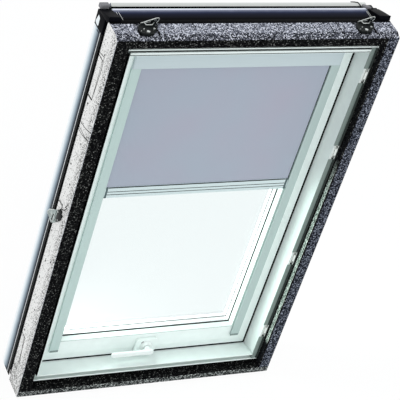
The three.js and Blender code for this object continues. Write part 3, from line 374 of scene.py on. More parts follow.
def float_glass(name):
    """Float glass: clear, with a faint green tint, smooth, and it lets the lamps' light through."""
    look, tree, shader, _ = new_look(name)
    feed(shader, {"Base Color": linear("#f8fcfc"), "Roughness": 0.0, "IOR": 1.5, "Transmission Weight": 1.0})
    clear = add(tree, "ShaderNodeBsdfTransparent", {"Color": linear("#f4faf8")}).outputs["BSDF"]
    shadow = add(tree, "ShaderNodeLightPath").outputs["Is Shadow Ray"]
    mix_out(tree, "Material Output", shadow, shader.outputs["BSDF"], clear)
    return look


# Mesh helpers
def box(bm, low, high):
    """Adds a box between two corners."""
    low, high = Vector(low), Vector(high)
    matrix = Matrix.Translation((low + high) / 2) @ Matrix.Diagonal((*(high - low), 1.0))
    return bmesh.ops.create_cube(bm, size=1.0, matrix=matrix)["verts"]


def loft(bm, outline, steps):
    """Adds a closed solid: the outline, then for each step a shift and a scale around the shifted centre."""
    face = bm.faces.new([bm.verts.new(point) for point in outline])
    for shift, scale in steps:
        made = bmesh.ops.extrude_face_region(bm, geom=[face])["geom"]
        face = next(item for item in made if isinstance(item, bmesh.types.BMFace))
        bmesh.ops.translate(bm, verts=face.verts, vec=shift)
        centre = Matrix.Translation(-face.calc_center_median())
        bmesh.ops.scale(bm, verts=face.verts, vec=scale, space=centre)


def bar(bm, outline, step):
    """Adds a closed bar: the outline's points, drawn along the vector step."""
    loft(bm, outline, [(step, (1, 1, 1))])


def rod(bm, centre, turn, radius, depth, segments):
    """Adds a closed round bar whose axis is the turned Z axis."""
    bmesh.ops.create_cone(
        bm, cap_ends=True, segments=segments, radius1=radius, radius2=radius, depth=depth,
        matrix=Matrix.Translation(centre) @ turn.to_matrix().to_4x4(),
    )


def round_bar(bm, centre, radius, depth, along, segments=24):
    """Adds a closed round bar around centre, depth long, along an axis."""
    quarter = math.pi / 2
    rod(bm, centre, Euler({"X": (0, quarter, 0), "Y": (quarter, 0, 0), "Z": (0, 0, 0)}[along]), radius, depth, segments)


def bent_wire(bm, points, radius, segments=8):
    """Adds a wire of round bars with round joints through points."""
    for start, end in zip(points, points[1:]):
        run = end - start
        rod(bm, (start + end) / 2, run.to_track_quat("Z", "X"), radius, run.length, segments)
    for point in points:
        bmesh.ops.create_icosphere(bm, subdivisions=2, radius=radius * 1.04, matrix=Matrix.Translation(point))


def spun(bm, points, centre, steps):
    """Adds a closed ring: the outline of points turned around the Y axis through centre."""
    verts = [bm.verts.new(point) for point in points]
    edges = [bm.edges.new(pair) for pair in zip(verts, verts[1:] + verts[:1])]
    bmesh.ops.spin(
        bm, geom=verts + edges, cent=centre, axis=(0, 1, 0), dvec=(0, 0, 0), angle=math.tau, steps=steps,
        use_merge=True, use_duplicate=False,
    )


def turned(bm, profile, centre, steps=40):
    """Adds a closed ring turned around the Y axis through centre. The profile's points are (radius, depth)."""
    spun(bm, [(centre.x + radius, depth, centre.z) for radius, depth in profile], centre, steps)


def surround(bm, profile, low, high):
    """Adds a closed ring with mitred corners inside the rectangle from low to high, each (x, z).
    The profile's points are (distance in from the rectangle's edge, depth)."""
    ring = bmesh.new()
    reach = max(inset for inset, _ in profile) + 10 * MM
    spun(ring, [(inset - reach, depth, inset - reach) for inset, depth in profile], (0, 0, 0), 4)
    for vert in ring.verts:
        vert.co.x += low[0] + reach if vert.co.x < 0 else high[0] - reach
        vert.co.z += low[1] + reach if vert.co.z < 0 else high[1] - reach
    joined(bm, ring)


def mesh_of(name, bm):
    """Turns a bmesh into a mesh and frees it."""
    mesh = bpy.data.meshes.new(name)
    bm.to_mesh(mesh)
    bm.free()
    return mesh


def linked(name, data):
    """A new object in the scene."""
    thing = bpy.data.objects.new(name, data)
    bpy.context.scene.collection.objects.link(thing)
    return thing


def joined(bm, other, look=None):
    """Moves a second bmesh into a first one, in the piece's material number look."""
    if look is not None:
        for face in other.faces:
            face.material_index = look
    mesh = mesh_of("joined", other)
    bm.from_mesh(mesh)
    bpy.data.meshes.remove(mesh)


def split(bm, place, normal):
    """Cuts the faces along a plane, so that each side can have its own look."""
    bmesh.ops.bisect_plane(
        bm, geom=bm.verts[:] + bm.edges[:] + bm.faces[:], dist=0.001 * MM, plane_co=place, plane_no=normal,
    )


def tinted(bm, look, make, *inputs):
    """Runs make and gives the faces that it adds the piece's material number look."""
    before = set(bm.faces)
    made = make(bm, *inputs)
    for face in set(bm.faces) - before:
        face.material_index = look
    return made


def soften(bm, width, segments=2, which=None):
    """Rounds every sharp edge, or only those that which picks."""
    sharp = [
        edge for edge in bm.edges
        if len(edge.link_faces) == 2 and edge.calc_face_angle(0.0) > SHARP and (which is None or which(edge))
    ]
    bmesh.ops.bevel(
        bm, geom=sharp, offset=width, offset_type="OFFSET", affect="EDGES", segments=segments, profile=0.5,
        material=-1, clamp_overlap=True,
    )


def solid(make, *inputs, edge=0.0, segments=2):
    """A bmesh that make fills, with its sharp edges rounded by edge."""
    bm = bmesh.new()
    make(bm, *inputs)
    if edge:
        soften(bm, edge, segments)
    return bm


def finished(name, bm, looks, body, slot, stands_for=(), recalculate=True, smooth=40.0):
    """Turns a bmesh into a piece that rides on a body."""
    bmesh.ops.remove_doubles(bm, verts=bm.verts, dist=WELD)
    if recalculate:
        bmesh.ops.recalc_face_normals(bm, faces=bm.faces)
    mesh = mesh_of(name, bm)
    mesh.shade_smooth()
    mesh.set_sharp_from_angle(angle=math.radians(smooth))
    for look in looks:
        mesh.materials.append(look)
    piece = linked(name, mesh)
    if body:
        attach(piece, body)
    if stands_for:
        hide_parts(*stands_for)
    return piece


def finished_side(side, name, bm, looks, slot, node=None, **options):
    """Finishes a frame piece that was made for the right side, mirrored where side is the left."""
    if side == "left":
        mirrored(bm)
    return finished(f"{name}_{side}", bm, looks, "frame", slot, [f"{node}_{side}"] if node else (), **options)


def node_copy(node):
    """A CAD node's shape as a bmesh of whole flat faces."""
    bm = bmesh.new()
    bm.from_mesh(NODES[node].data)
    bmesh.ops.remove_doubles(bm, verts=bm.verts, dist=NODE_WELD)
    bmesh.ops.dissolve_limit(bm, angle_limit=FLAT, verts=bm.verts, edges=bm.edges)
    for face in bm.faces:
        face.material_index = 0
    return bm


def mirrored(bm):
    """Mirrors a bmesh from the right side to the left."""
    bmesh.ops.scale(bm, verts=bm.verts, vec=(-1, 1, 1))
    bmesh.ops.reverse_faces(bm, faces=bm.faces)


def dress(names, look, edge):
    """Gives CAD nodes a finish and rounds their edges."""
    for name in names:
        node = NODES[name]
        for material_slot in node.material_slots:
            material_slot.material = look
        node.modifiers.new("Weld", "WELD").merge_threshold = NODE_WELD
        flat = node.modifiers.new("Flat", "DECIMATE")
        flat.decimate_type, flat.angle_limit = "DISSOLVE", FLAT
        bevel = node.modifiers.new("Bevel", "BEVEL")
        bevel.width, bevel.segments, bevel.harden_normals = edge, 2, True
        bevel.limit_method, bevel.angle_limit = "ANGLE", SHARP


def cut_with(piece, cutter_bm):
    """Cuts a bmesh of closed solids out of a piece."""
    bmesh.ops.recalc_face_normals(cutter_bm, faces=cutter_bm.faces)
    mesh = mesh_of("cutter", cutter_bm)
    cutter = linked("cutter", mesh)
    boolean = piece.modifiers.new("Cut", "BOOLEAN")
    boolean.operation, boolean.solver, boolean.object = "DIFFERENCE", "EXACT", cutter
    graph = bpy.context.evaluated_depsgraph_get()
    result = bpy.data.meshes.new_from_object(piece.evaluated_get(graph))
    piece.modifiers.clear()
    old, piece.data = piece.data, result
    bpy.data.meshes.remove(old)
    result.name = piece.name
    bpy.data.objects.remove(cutter)
    bpy.data.meshes.remove(mesh)


# Operators, one for each piece or group of like pieces
class RoofWindowOperator:
    """What the operators that add a part of the window share"""

    bl_options = {"REGISTER", "UNDO"}

    def execute(self, context):
        self.build(context.scene)
        return {"FINISHED"}


class ROOFWINDOW_OT_foam_collar(RoofWindowOperator, bpy.types.Operator):
    """Add the insulation collar with its beads, joints and vents"""

    bl_idname = "roofwindow.foam_collar"
    bl_label = "Foam Collar"

    # Where one painted tone meets the next, in millimetres: the side walls' inner face, the depths of the inner wall
    # and of its first row, the foot's height and the depth of the top behind the window
    inner_face, wall, row, foot, ledge = 375.8, 13, 6.5, 19.5, 60.5

    # (depth, height) of the vents' marks in each side wall and (across, depth) of those in the top, in millimetres
    side_vents = (
        (42, 1187), (62, 1020), (37, 906), (60, 822), (36, 771), (64, 585), (52, 485), (22, 506), (62, 416),
        (36, 314), (61, 212),
    )
    top_vents = ((-397, 47), (-179, 47), (89, 47), (394, 47))

    # Courses of the joints moulded into each side wall and into the top, given as the vents are, and their radius
    side_joints = (
        ((74, 1174.5), (41, 1181), (38.5, 1150), (41, 1098), (46.4, 1043), (74, 1040)),
        ((72, 956.2), (62, 955.9), (44, 957.5), (26.6, 961.6), (1, 970)),
        ((72, 930.8), (61, 930.5), (46, 931.5), (31.9, 934.3), (1, 945)),
        ((52.6, 195.3), (44.6, 147.3), (38, 93.5)),
    )
    top_joints = (((214, 22), (214, 59)), ((239, 3), (239, 59)))
    joint_radius = 0.85 * MM

    def build(self, scene):
        foam = scene.roofwindow_foam
        looks = self.make_looks(foam)
        for place in ("top_left", "top_right", "bottom_right", "bottom_left"):
            node = f"insulation_{place}"
            bm = node_copy(node)
            soften(bm, foam.edge)
            for cut, normal in (
                (at(self.inner_face, 0, 0), (1, 0, 0)), (at(0, self.wall, 0), (0, 1, 0)),
                (at(0, self.row, 0), (0, 1, 0)), (at(0, 0, self.foot), (0, 0, 1)), (at(0, self.ledge, 0), (0, 1, 0)),
            ):
                split(bm, cut, normal)
            piece = finished(f"foam_{place}", bm, looks, "frame", "foam", [node], recalculate=False)
            cut_with(piece, solid(self.add_vents, place, foam))
            self.paint(piece)
        bm = bmesh.new()
        for joint in self.side_joints:
            for side in (-1, 1):
                bent_wire(bm, path(joint, x=side * COLLAR_HIGH.x), self.joint_radius, 6)
        for joint in self.top_joints:
            bent_wire(bm, path(joint, z=COLLAR_HIGH.z), self.joint_radius, 6)
        finished("foam_joint_lines", bm, [looks[3]], "frame", "foam")

    def make_looks(self, foam):
        """The skins in the order that paint names them in, with the cuts' shade among them: lit and shaded copies of
        one graphite foam.
        """
        front = COLLAR_LOW.y
        # black is painted shadow on the right wall inside, above and below where unlit marks it.
        black = [(0.0, "#08080a"), (0.8, "#17181a"), (1.0, "#2c2d2e")]
        unlit = [("Z", 0.73, 0.84), ("Z", 0.135, 0.12)]
        skins = (
            # Painted light on the outer sides, darker towards the front edge and towards the foot.
            ("pale_skin",
             [(0.0, foam.pale), (0.84, shade(foam.pale, 0.94)), (0.93, "#b4b2af"), (0.985, "#4a4948")],
             [(0.0, foam.pale), (0.5, shade(foam.pale, 0.93)), (0.7, "#a4a3a0"), (0.93, "#3f3e3e")],
             [("Y", front + 31 * MM, front + 20 * MM), ("Z", 0.16, 0.05)]),
            # Weaker painted light on the top, darker along its front band.
            ("grey_top",
             [(0.0, "#050608"), (0.3, shade(foam.top, 0.5)), (0.62, shade(foam.top, 0.94)), (0.93, "#e4e6f0")],
             [(0.0, "#040405"), (0.35, shade(foam.top, 0.3)), (0.75, shade(foam.top, 0.72)), (0.96, "#dfe1ec")],
             [("Y", front + 19 * MM, front + 17 * MM)]),
            # The graphite front, partly painted shade; the bluer right front is painted light.
            ("graphite",
             [(0.0, shade(foam.front, 0.2)), (0.6, shade(foam.front, 0.6)), (0.9, "#222323"), (0.985, "#6e6f6c")],
             [(0.0, "#020203"), (0.35, shade(foam.blue, 0.4)), (0.7, shade(foam.blue, 0.85)), (0.96, "#9a9fad")],
             [("X", 0.376, 0.378)]),
            ("foot", [(0.0, "#060707"), (0.4, "#2c2e2e"), (0.75, "#5c5f5e"), (0.97, "#c9ccca")]),
            # The right wall inside: painted light where the lamp behind the glass reaches it, a painted highlight along
            # its front edge and a painted lit row behind it.
            ("inner_edge", [(0.0, "#59605a"), (0.3, "#98a29a"), (0.7, "#c9d3ca"), (1.0, "#f6fcf6")], black, unlit),
            ("inner_wall", [(0.0, "#0b0d0c"), (0.35, "#3d4540"), (0.7, "#87918a"), (1.0, "#f0f6f0")], black, unlit),
            ("inner_row", [(0.0, "#161a18"), (0.35, "#5f6963"), (0.7, "#a9b4ac"), (1.0, "#f8fef8")], black, unlit),
            # A painted highlight on the slanted front edges.
            ("rubbed_edge", [(0.0, "#50535b"), (0.4, "#8f929b"), (1.0, "#e4e6ea")]),
        )
        looks = [moulded_foam(f"moulded_eps_{name}", foam.bead, *tones) for name, *tones in skins]
        return looks[:3] + [dull_rubber("cut_eps_in_shade", "#121213", 0.9)] + looks[3:]

    def add_vents(self, cutter, place, foam):
        """Adds the vents' marks that lie on one piece of the collar."""
        side = -1 if place.endswith("left") else 1
        low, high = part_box(f"insulation_{place}")
        size = (foam.vent / 2, 2 * foam.vent_depth)
        for centre in path(self.side_vents, x=side * COLLAR_HIGH.x):
            if low.z + 2 * foam.vent < centre.z < high.z - 2 * foam.vent:
                round_bar(cutter, centre, *size, "X", 12)
        for centre in path(self.top_vents, z=COLLAR_HIGH.z):
            if place.startswith("top") and low.x + foam.vent < centre.x < high.x - foam.vent:
                round_bar(cutter, centre, *size, "Z", 12)

    def paint(self, piece):
        """Gives each face the skin of its side, painted lit or shaded as that side lies to the light, and the cuts
        their shade.
        """
        pale, grey_top, graphite, in_shade, foot, inner_edge, inner_wall, inner_row, edge_highlight = range(9)
        wide, top = COLLAR_HIGH.x, COLLAR_HIGH.z
        # How near a face lies to the side that it belongs to, and how deep and how large a vent's floor is
        skin, vent_floor, vent_area = 3 * MM, 0.9 * MM, 60 * MM ** 2
        for face in piece.data.polygons:
            normal, centre = face.normal, face.center
            depth = centre.y - COLLAR_LOW.y
            outer = abs(centre.x) > wide - skin and normal.x * centre.x > 0
            above = centre.z > top - skin
            sunk = outer and abs(normal.x) > 0.9 and abs(centre.x) < wide - vent_floor
            sunk = sunk or above and normal.z > 0.98 and centre.z < top - vent_floor and face.area < vent_area
            slanted = min(abs(normal.x), abs(normal.z)) > 0.25
            joint = slanted and (
                outer and 50 * MM < centre.z < top - 60 * MM or above and abs(centre.x) < wide - 20 * MM
            )
            inside = wide - 45 * MM < centre.x < wide - 32 * MM
            if sunk or joint or above and depth > 60 * MM and normal.z > 0.5:
                look = in_shade
            # Slanted faces at the very front get the painted highlight.
            elif depth < 1.2 * MM and 0.2 < -normal.y < 0.95 and (above and normal.z > 0.3 or outer and centre.x < 0):
                look = edge_highlight
            elif outer and abs(normal.x) > 0.5:
                look = pale
            elif normal.z > 0.35 and centre.z > top - 12 * MM:
                look = grey_top
            elif centre.z < self.foot * MM and normal.y < 0.5:
                look = foot
            elif inside and depth < 1.6 * MM and (normal.x < -0.2 or centre.x < self.inner_face * MM):
                look = inner_edge
            elif inside and normal.x < -0.5 and depth < self.wall * MM:
                look = inner_row if depth > self.row * MM else inner_wall
            else:
                look = graphite
            face.material_index = look


class ROOFWINDOW_OT_fixed_frame(RoofWindowOperator, bpy.types.Operator):
    """Finish the fixed frame and add the strips in its groove"""

    bl_idname = "roofwindow.fixed_frame"
    bl_label = "Fixed Frame"

    clips = [f"lining_clip_{i}" for i in range(1, 5)]

    def build(self, scene):
        sizes = scene.roofwindow_frame
        white = extruded_plastic("extruded_upvc_white", sizes.white)
        dress(["frame_head", "frame_sill", "frame_jamb_left"], white, sizes.edge)
        # The right jamb takes the white made darker, as painted shade on its reveal.
        dress(["frame_jamb_right"], extruded_plastic("extruded_upvc_jamb", shade(sizes.white, 0.91)), sizes.edge)
        dress(self.clips, extruded_plastic("moulded_pom_clip", "#eef2ee", 0.45), 0.4 * MM)
        self.add_strips(sizes)
        self.add_seal(sizes)
        self.add_head_strip(sizes)

    def add_strips(self, sizes):
        """A U-shaped strip that lines the groove: pale at the sill, and painted shade at the head and on the right,
        darker still on the left.
        """
        lip, gap, wall, inner, over = deep(20.3), 0.05 * MM, 0.25 * MM, 13.5 * MM, 0.3 * MM
        low, high = (LINER_LOW.x - over, LINER_LOW.z - over), (LINER_HIGH.x + over, LINER_HIGH.z + over)
        bm = solid(surround, [
            (gap, lip), (wall, lip), (wall, LINER_LOW.y), (inner - wall, LINER_LOW.y), (inner - wall, lip),
            (inner - gap, lip), (inner - gap, LINER_HIGH.y), (gap, LINER_HIGH.y),
        ], low, high)
        for face in bm.faces:
            spot = face.calc_center_median()
            sides = (spot.x - low[0], high[0] - spot.x, spot.z - low[1], high[1] - spot.z)
            face.material_index = (2, 0, 1, 0)[sides.index(min(sides))]
        looks = [
            extruded_plastic("extruded_pvc_strip_dark", sizes.strip_dark, 0.5),
            extruded_plastic("extruded_pvc_strip_pale", sizes.strip_pale, 0.5),
            dull_rubber("extruded_tpe_strip_black", "#101212"),
        ]
        finished("groove_strips", bm, looks, "frame", "liner", ["groove_liner"])

    def add_seal(self, sizes):
        """The seal over the right groove: an inner lip and a web that the clips interrupt, and an outer lip."""
        foot, head, gap = LINER_LOW.z - 1 * MM, LINER_HIGH.z - 1 * MM, 0.4 * MM
        inner_lip = ((348.6, 20.4), (348.9, 18.9), (350.2, 18.1), (352.0, 18.1), (353.2, 19.3), (353.2, 20.4))
        web = ((353.0, 20.4), (353.0, 19.3), (357.0, 18.8), (361.0, 19.3), (362.8, 20.0), (362.8, 20.4))
        outer_lip = ((362.6, 20.4), (362.6, 19.6), (364.0, 18.4), (369.6, 18.2), (370.2, 18.9), (370.2, 20.4))
        boxes = [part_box(clip) for clip in self.clips]
        starts = [foot] + [high.z + gap for _, high in boxes]
        runs = list(zip(starts, [low.z - gap for low, _ in boxes] + [head]))
        bm = bmesh.new()
        for look, profile, stretches in ((1, inner_lip, runs), (0, web, runs), (2, outer_lip, [(foot, head)])):
            for start, end in stretches:
                tinted(bm, look, bar, path(profile, z=start), (0, 0, end - start))
        # The outer lip's dark tone is painted shade.
        looks = [
            extruded_plastic("extruded_tpe_seal", sizes.seal, 0.5),
            extruded_plastic("extruded_tpe_seal_lip", shade(sizes.seal, 0.95), 0.5),
            dull_rubber("extruded_tpe_seal_edge", shade(sizes.seal, 0.45)),
        ]
        finished("groove_seal_right", bm, looks, "frame", "liner")

    def add_head_strip(self, sizes):
        """A cover strip at the head and, under it, a dark strip of painted shade."""
        end, joint, foot, top = LINER_HIGH.x - 14 * MM, level(1203.3), level(1201.0), level(1209.8)
        strip = extruded_plastic("extruded_upvc_strip", sizes.white)
        bm = solid(box, (-end, deep(18.7), joint), (end, deep(22), top), edge=0.4 * MM)
        finished("head_cover_strip", bm, [strip], "frame", "pvc")
        bm = solid(box, (-end, deep(18.85), foot), (end, deep(20), joint))
        finished("head_joint_line", bm, [dull_rubber("joint_line_in_shade", "#4a5352")], "frame", "pvc")


class ROOFWINDOW_OT_sash(RoofWindowOperator, bpy.types.Operator):
    """Finish the sash and its glass unit, and add its lip seal and the line of its glazing bead"""

    bl_idname = "roofwindow.sash"
    bl_label = "Sash"

    def build(self, scene):
        sizes = scene.roofwindow_frame
        white = extruded_plastic("extruded_upvc_sash", sizes.white)
        dress(["sash_head", "sash_sill", "sash_stile_left", "sash_stile_right"], white, sizes.edge)
        rubber = dull_rubber("extruded_epdm_black", "#0f1011")
        dress(["sash_seal", "glazing_gasket"], rubber, 0.3 * MM)
        dress(["glass_inner", "glass_outer"], float_glass("float_glass_clear"), 0.4 * MM)
        dress(["glass_spacer"], extruded_plastic("warm_edge_spacer_white", "#ffffff", 0.5), 0.4 * MM)

        front, back, width = deep(77.1), deep(78.05), 5.2 * MM
        profile = [(0, back), (0, front + 0.3 * MM), (0.5 * MM, front), (width, front + 0.4 * MM), (width, back)]
        self.add_ring("sash_lip_seal", profile, (345.2, 55.3, 1205.7), rubber, "rubber")

        proud, sunk, line = deep(74.5) - 0.25 * MM, deep(74.5) + 0.2 * MM, 1.1 * MM
        joint = extruded_plastic("upvc_joint_line", "#8fa39c", 0.5)
        profile = [(0, sunk), (0, proud), (line, proud), (line, sunk)]
        self.add_ring("glazing_bead_joint", profile, (279.6, 134.9, 1126.1), joint, "pvc")

    def add_ring(self, name, profile, reach, look, slot):
        """A ring on the sash that reaches half a width across, from a foot to a head, in millimetres."""
        half, foot, head = (place * MM for place in reach)
        finished(name, solid(surround, profile, (-half, foot), (half, head)), [look], "sash", slot)


class ROOFWINDOW_OT_lock_and_hinges(RoofWindowOperator, bpy.types.Operator):
    """Finish the lock, its rods and the hinges"""

    bl_idname = "roofwindow.lock_and_hinges"
    bl_label = "Lock And Hinges"

    def build(self, scene):
        pairs = ("lock_rod", "striker", "hinge_plate", "hinge_arm")
        names = ["handle_spindle", "lock_gearbox", *(f"{name}_{side}" for name in pairs for side in SIDES)]
        dress(names, zinc_steel("zinc_plated_steel", "#c2c4c6"), 0.3 * MM)


class ROOFWINDOW_OT_handle(RoofWindowOperator, bpy.types.Operator):
    """Add the handle's lever with its neck, and its rose"""

    bl_idname = "roofwindow.handle"
    bl_label = "Handle"

    # The lever's first section, with its half depth and half height, then the others: place across, middle's
    # depth, and depth and height against the first section, all in millimetres
    root = (12.9, 40.4, 4.2, 6.1)
    sections = (
        (11.5, 40.4, 1.22, 1.25), (8.0, 40.2, 1.36, 1.46), (0.0, 40.2, 1.42, 1.56), (-9.0, 40.2, 1.42, 1.50),
        (-22.0, 40.2, 1.36, 1.34), (-60.0, 40.0, 1.28, 1.30), (-98.0, 40.0, 1.26, 1.42), (-113.0, 40.0, 1.24, 1.44),
        (-117.8, 40.0, 1.12, 1.26), (-119.8, 40.0, 0.8, 0.9),
    )
    # (radius, depth) of the neck's collar, in millimetres, and (radius, place before the rose) of the rose's hub
    collar = ((8.9, 45), (9.6, 45), (11.6, 48.5), (11.6, 50.5), (9.2, 53.5), (8.9, 53.5))
    hub = ((9.5, 0.4), (9.5, -9), (14.5, -9), (17.6, -6), (20.5, 0.4))

    def build(self, scene):
        handle = scene.roofwindow_handle
        white = extruded_plastic("moulded_abs_white", handle.white, 0.22)
        rose = extruded_plastic("moulded_abs_rose", scene.roofwindow_frame.white, 0.32)
        axis = Vector((0, 0, (ROSE_LOW.z + ROSE_HIGH.z) / 2))
        self.add_lever(axis, [white])
        self.add_rose(axis, handle, [rose, dull_rubber("slot_in_shade", "#0c0d0d"), white])

    def rounded(self, share):
        """A circle's sine or cosine drawn out towards the corners of a square."""
        return math.copysign(abs(share) ** 0.6, share)

    def add_lever(self, axis, looks):
        across, depth, half_depth, half_height = self.root
        middle = (axis.z - COLLAR_LOW.z) / MM
        outline = [
            at(across, depth + half_depth * self.rounded(math.cos(turn)),
               middle + half_height * self.rounded(math.sin(turn)))
            for turn in circle(20)
        ]
        steps, last = [], (1.0, 1.0)
        for place, middle_depth, deeper, higher in self.sections:
            shift = Vector(((place - across) * MM, (middle_depth - depth) * MM, 0))
            steps.append((shift, (1, deeper / last[0], higher / last[1])))
            across, depth, last = place, middle_depth, (deeper, higher)
        bm = solid(loft, outline, steps)
        front = deep(41)
        round_bar(bm, axis + Vector((0, (front + LEVER_BACK) / 2, 0)), 9 * MM, LEVER_BACK - front, "Y", 40)
        turned(bm, [(radius * MM, deep(y)) for radius, y in self.collar], axis)
        finished("handle_grip", bm, looks, "handle", "handle_plastic", ["handle_lever"])

    def add_rose(self, axis, handle, looks):
        bm = node_copy("handle_rose")
        front, middle, bore = ROSE_LOW.y, axis.z, 12 * MM
        soften(bm, handle.edge, 4, which=lambda edge: all(
            vert.co.y < front + 0.1 * MM and math.hypot(vert.co.x, vert.co.z - middle) > bore for vert in edge.verts
        ))
        tinted(bm, 2, turned, [(radius * MM, front + y * MM) for radius, y in self.hub], axis)
        half_wide, half_deep, half_tall = 4.2 * MM, 0.3 * MM, 1.8 * MM
        slot = tinted(
            bm, 1, box, (-half_wide, front - half_deep, -half_tall), (half_wide, front + half_deep, half_tall),
        )
        turn = Matrix.Translation((-14 * MM, 0, middle + 15 * MM)) @ Matrix.Rotation(math.radians(-50), 4, "Y")
        bmesh.ops.transform(bm, verts=slot, matrix=turn)
        finished("handle_plate", bm, looks, "sash", "handle_plastic", ["handle_rose"])


class ROOFWINDOW_OT_blind(RoofWindowOperator, bpy.types.Operator):
    """Finish the cassette and the rails, and add the cloth, its winding and the pull bar"""

    bl_idname = "roofwindow.blind"
    bl_label = "Blind"

    def build(self, scene):
        blind = scene.roofwindow_blind
        cassette = drawn_aluminium("coated_aluminium_cassette", blind.cassette, "X")
        dress(["cassette_housing", "cassette_cap_left", "cassette_cap_right"], cassette, 0.5 * MM)
        dress(["rail_left"], drawn_aluminium("coated_aluminium_rail", blind.rail, "Z"), 0.4 * MM)
        # The right rail takes the rail's colour made darker, as painted shade.
        right = drawn_aluminium("coated_aluminium_rail_right", shade(blind.rail, 0.94), "Z")
        dress(["rail_right"], right, 0.4 * MM)
        dress(["roller_tube"], drawn_aluminium("extruded_aluminium_tube", "#b9bcc0", "X", 0.9), 0.2 * MM)
        dress(["roller_spring"], zinc_steel("spring_steel", "#8c8f93"), 0.1 * MM)
        self.add_rail_ends(blind)
        cloth = blackout_cloth("woven_blackout_cloth", blind.cloth, blind.weave)
        self.add_cloth(cloth, self.add_roll(cloth))
        self.add_bar(blind)

    def add_rail_ends(self, blind):
        """Moulded stops at the rails' feet."""
        bm = bmesh.new()
        for side in (-1, 1):
            start, end = sorted((side * (RAIL_LOW.x - 0.2 * MM), side * (RAIL_HIGH.x - 2 * MM)))
            box(
                bm, (start, RAIL_LOW.y - 0.4 * MM, RAIL_LOW.z - 0.6 * MM),
                (end, RAIL_LOW.y + 1.4 * MM, RAIL_LOW.z + 7 * MM),
            )
        soften(bm, 0.35 * MM)
        look = dull_rubber("moulded_abs_rail_stop", shade(blind.rail, 0.72), 0.5)
        finished("rail_stops", bm, [look], "sash", "rail_aluminium")

    def add_roll(self, cloth):
        """The wound part of the cloth, with the step of its last turn and its layers at the ends."""
        centre = (ROLL_LOW + ROLL_HIGH) / 2
        radius, layer, groove, points = (ROLL_HIGH.z - ROLL_LOW.z) / 2, 0.45 * MM, 0.2 * MM, 72
        outline = []
        for i in range(points + 1):
            turn, reach = math.tau * i / points, radius - layer * (1 - i / points)
            outline.append(Vector((ROLL_LOW.x, centre.y + math.sin(turn) * reach, centre.z + math.cos(turn) * reach)))
        bm = solid(bar, outline, (ROLL_HIGH.x - ROLL_LOW.x, 0, 0))
        for end in [face for face in bm.faces if len(face.verts) > 8]:
            for thickness, sunk in ((layer, 0.0), (groove, -0.25 * MM)) * 3:
                bmesh.ops.inset_region(bm, faces=[end], thickness=thickness, depth=sunk, use_even_offset=True)
        return finished("cloth_roll", bm, [cloth], "blind_roller", "cloth", ["fabric_roll"])

    def add_cloth(self, cloth, roll):
        """The drawn cloth, one taut sheet from the roller to the bar, with faint waves and its edge in shade."""
        wide, tall = FABRIC_HIGH.x - FABRIC_LOW.x, FABRIC_HIGH.z - FABRIC_LOW.z
        middle = (FABRIC_LOW + FABRIC_HIGH) / 2
        upright, size = Matrix.Rotation(math.pi / 2, 4, "X"), Matrix.Diagonal((wide, tall, 1, 1))
        bm = bmesh.new()
        bmesh.ops.create_grid(
            bm, x_segments=56, y_segments=1, size=0.5, matrix=Matrix.Translation(middle) @ upright @ size,
        )
        wave, short, long = 0.12 * MM, 31 * MM, 83 * MM
        for vert in bm.verts:
            vert.co.y += wave * math.sin(vert.co.x / short) * math.sin(vert.co.x / long)
        bmesh.ops.recalc_face_normals(bm, faces=bm.faces)
        bmesh.ops.solidify(bm, geom=bm.faces[:], thickness=0.4 * MM)
        edge = RAIL_LOW.x - 3.2 * MM
        split(bm, (edge, 0, 0), (1, 0, 0))
        for face in bm.faces:
            if face.calc_center_median().x > edge:
                face.material_index = 1
        dark = dull_rubber("cloth_edge_in_shade", "#15191d", 0.8)
        sheet = finished("cloth_sheet", bm, [cloth, dark], None, "cloth", ["blind_fabric"])
        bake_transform(sheet)

    def add_bar(self, blind):
        """The pull bar with its grooves painted in shade, a dark strip of painted shade along its top where the cloth
        meets it, and end caps whose dark tone is partly painted shade.
        """
        bm = node_copy("pull_bar")
        soften(bm, 0.25 * MM)
        groove = deep(71.1)
        for face in bm.faces:
            if groove < face.calc_center_median().y < groove + 0.8 * MM and face.normal.y < -0.5:
                face.material_index = 1
        half, top, foot, front = FABRIC_HIGH.x - 0.6 * MM, level(722), level(685), deep(70.8)
        slot = half - 7 * MM
        # A dark strip along the bar's top: painted shade where the cloth meets the bar.
        tinted(bm, 1, box, (-slot, front - 0.3 * MM, top - 3.2 * MM), (slot, front + 1 * MM, top - 0.1 * MM))
        for side in (-1, 1):
            start, end = sorted((side * (half - 6.5 * MM), side * half))
            low, high = (start, front - 0.55 * MM, foot - 0.3 * MM), (end, front + 3.6 * MM, top + 0.1 * MM)
            joined(bm, solid(box, low, high, edge=0.5 * MM), 2)
        looks = [
            drawn_aluminium("coated_aluminium_bar", shade(blind.bar, 1.08), "X"),
            dull_rubber("groove_in_shade", "#06090a"),
            dull_rubber("moulded_abs_bar_cap", "#5d6d6e", 0.5),
        ]
        finished("pull_bar_profile", bm, looks, "blind_bar", "bar_aluminium", ["pull_bar"], recalculate=False)


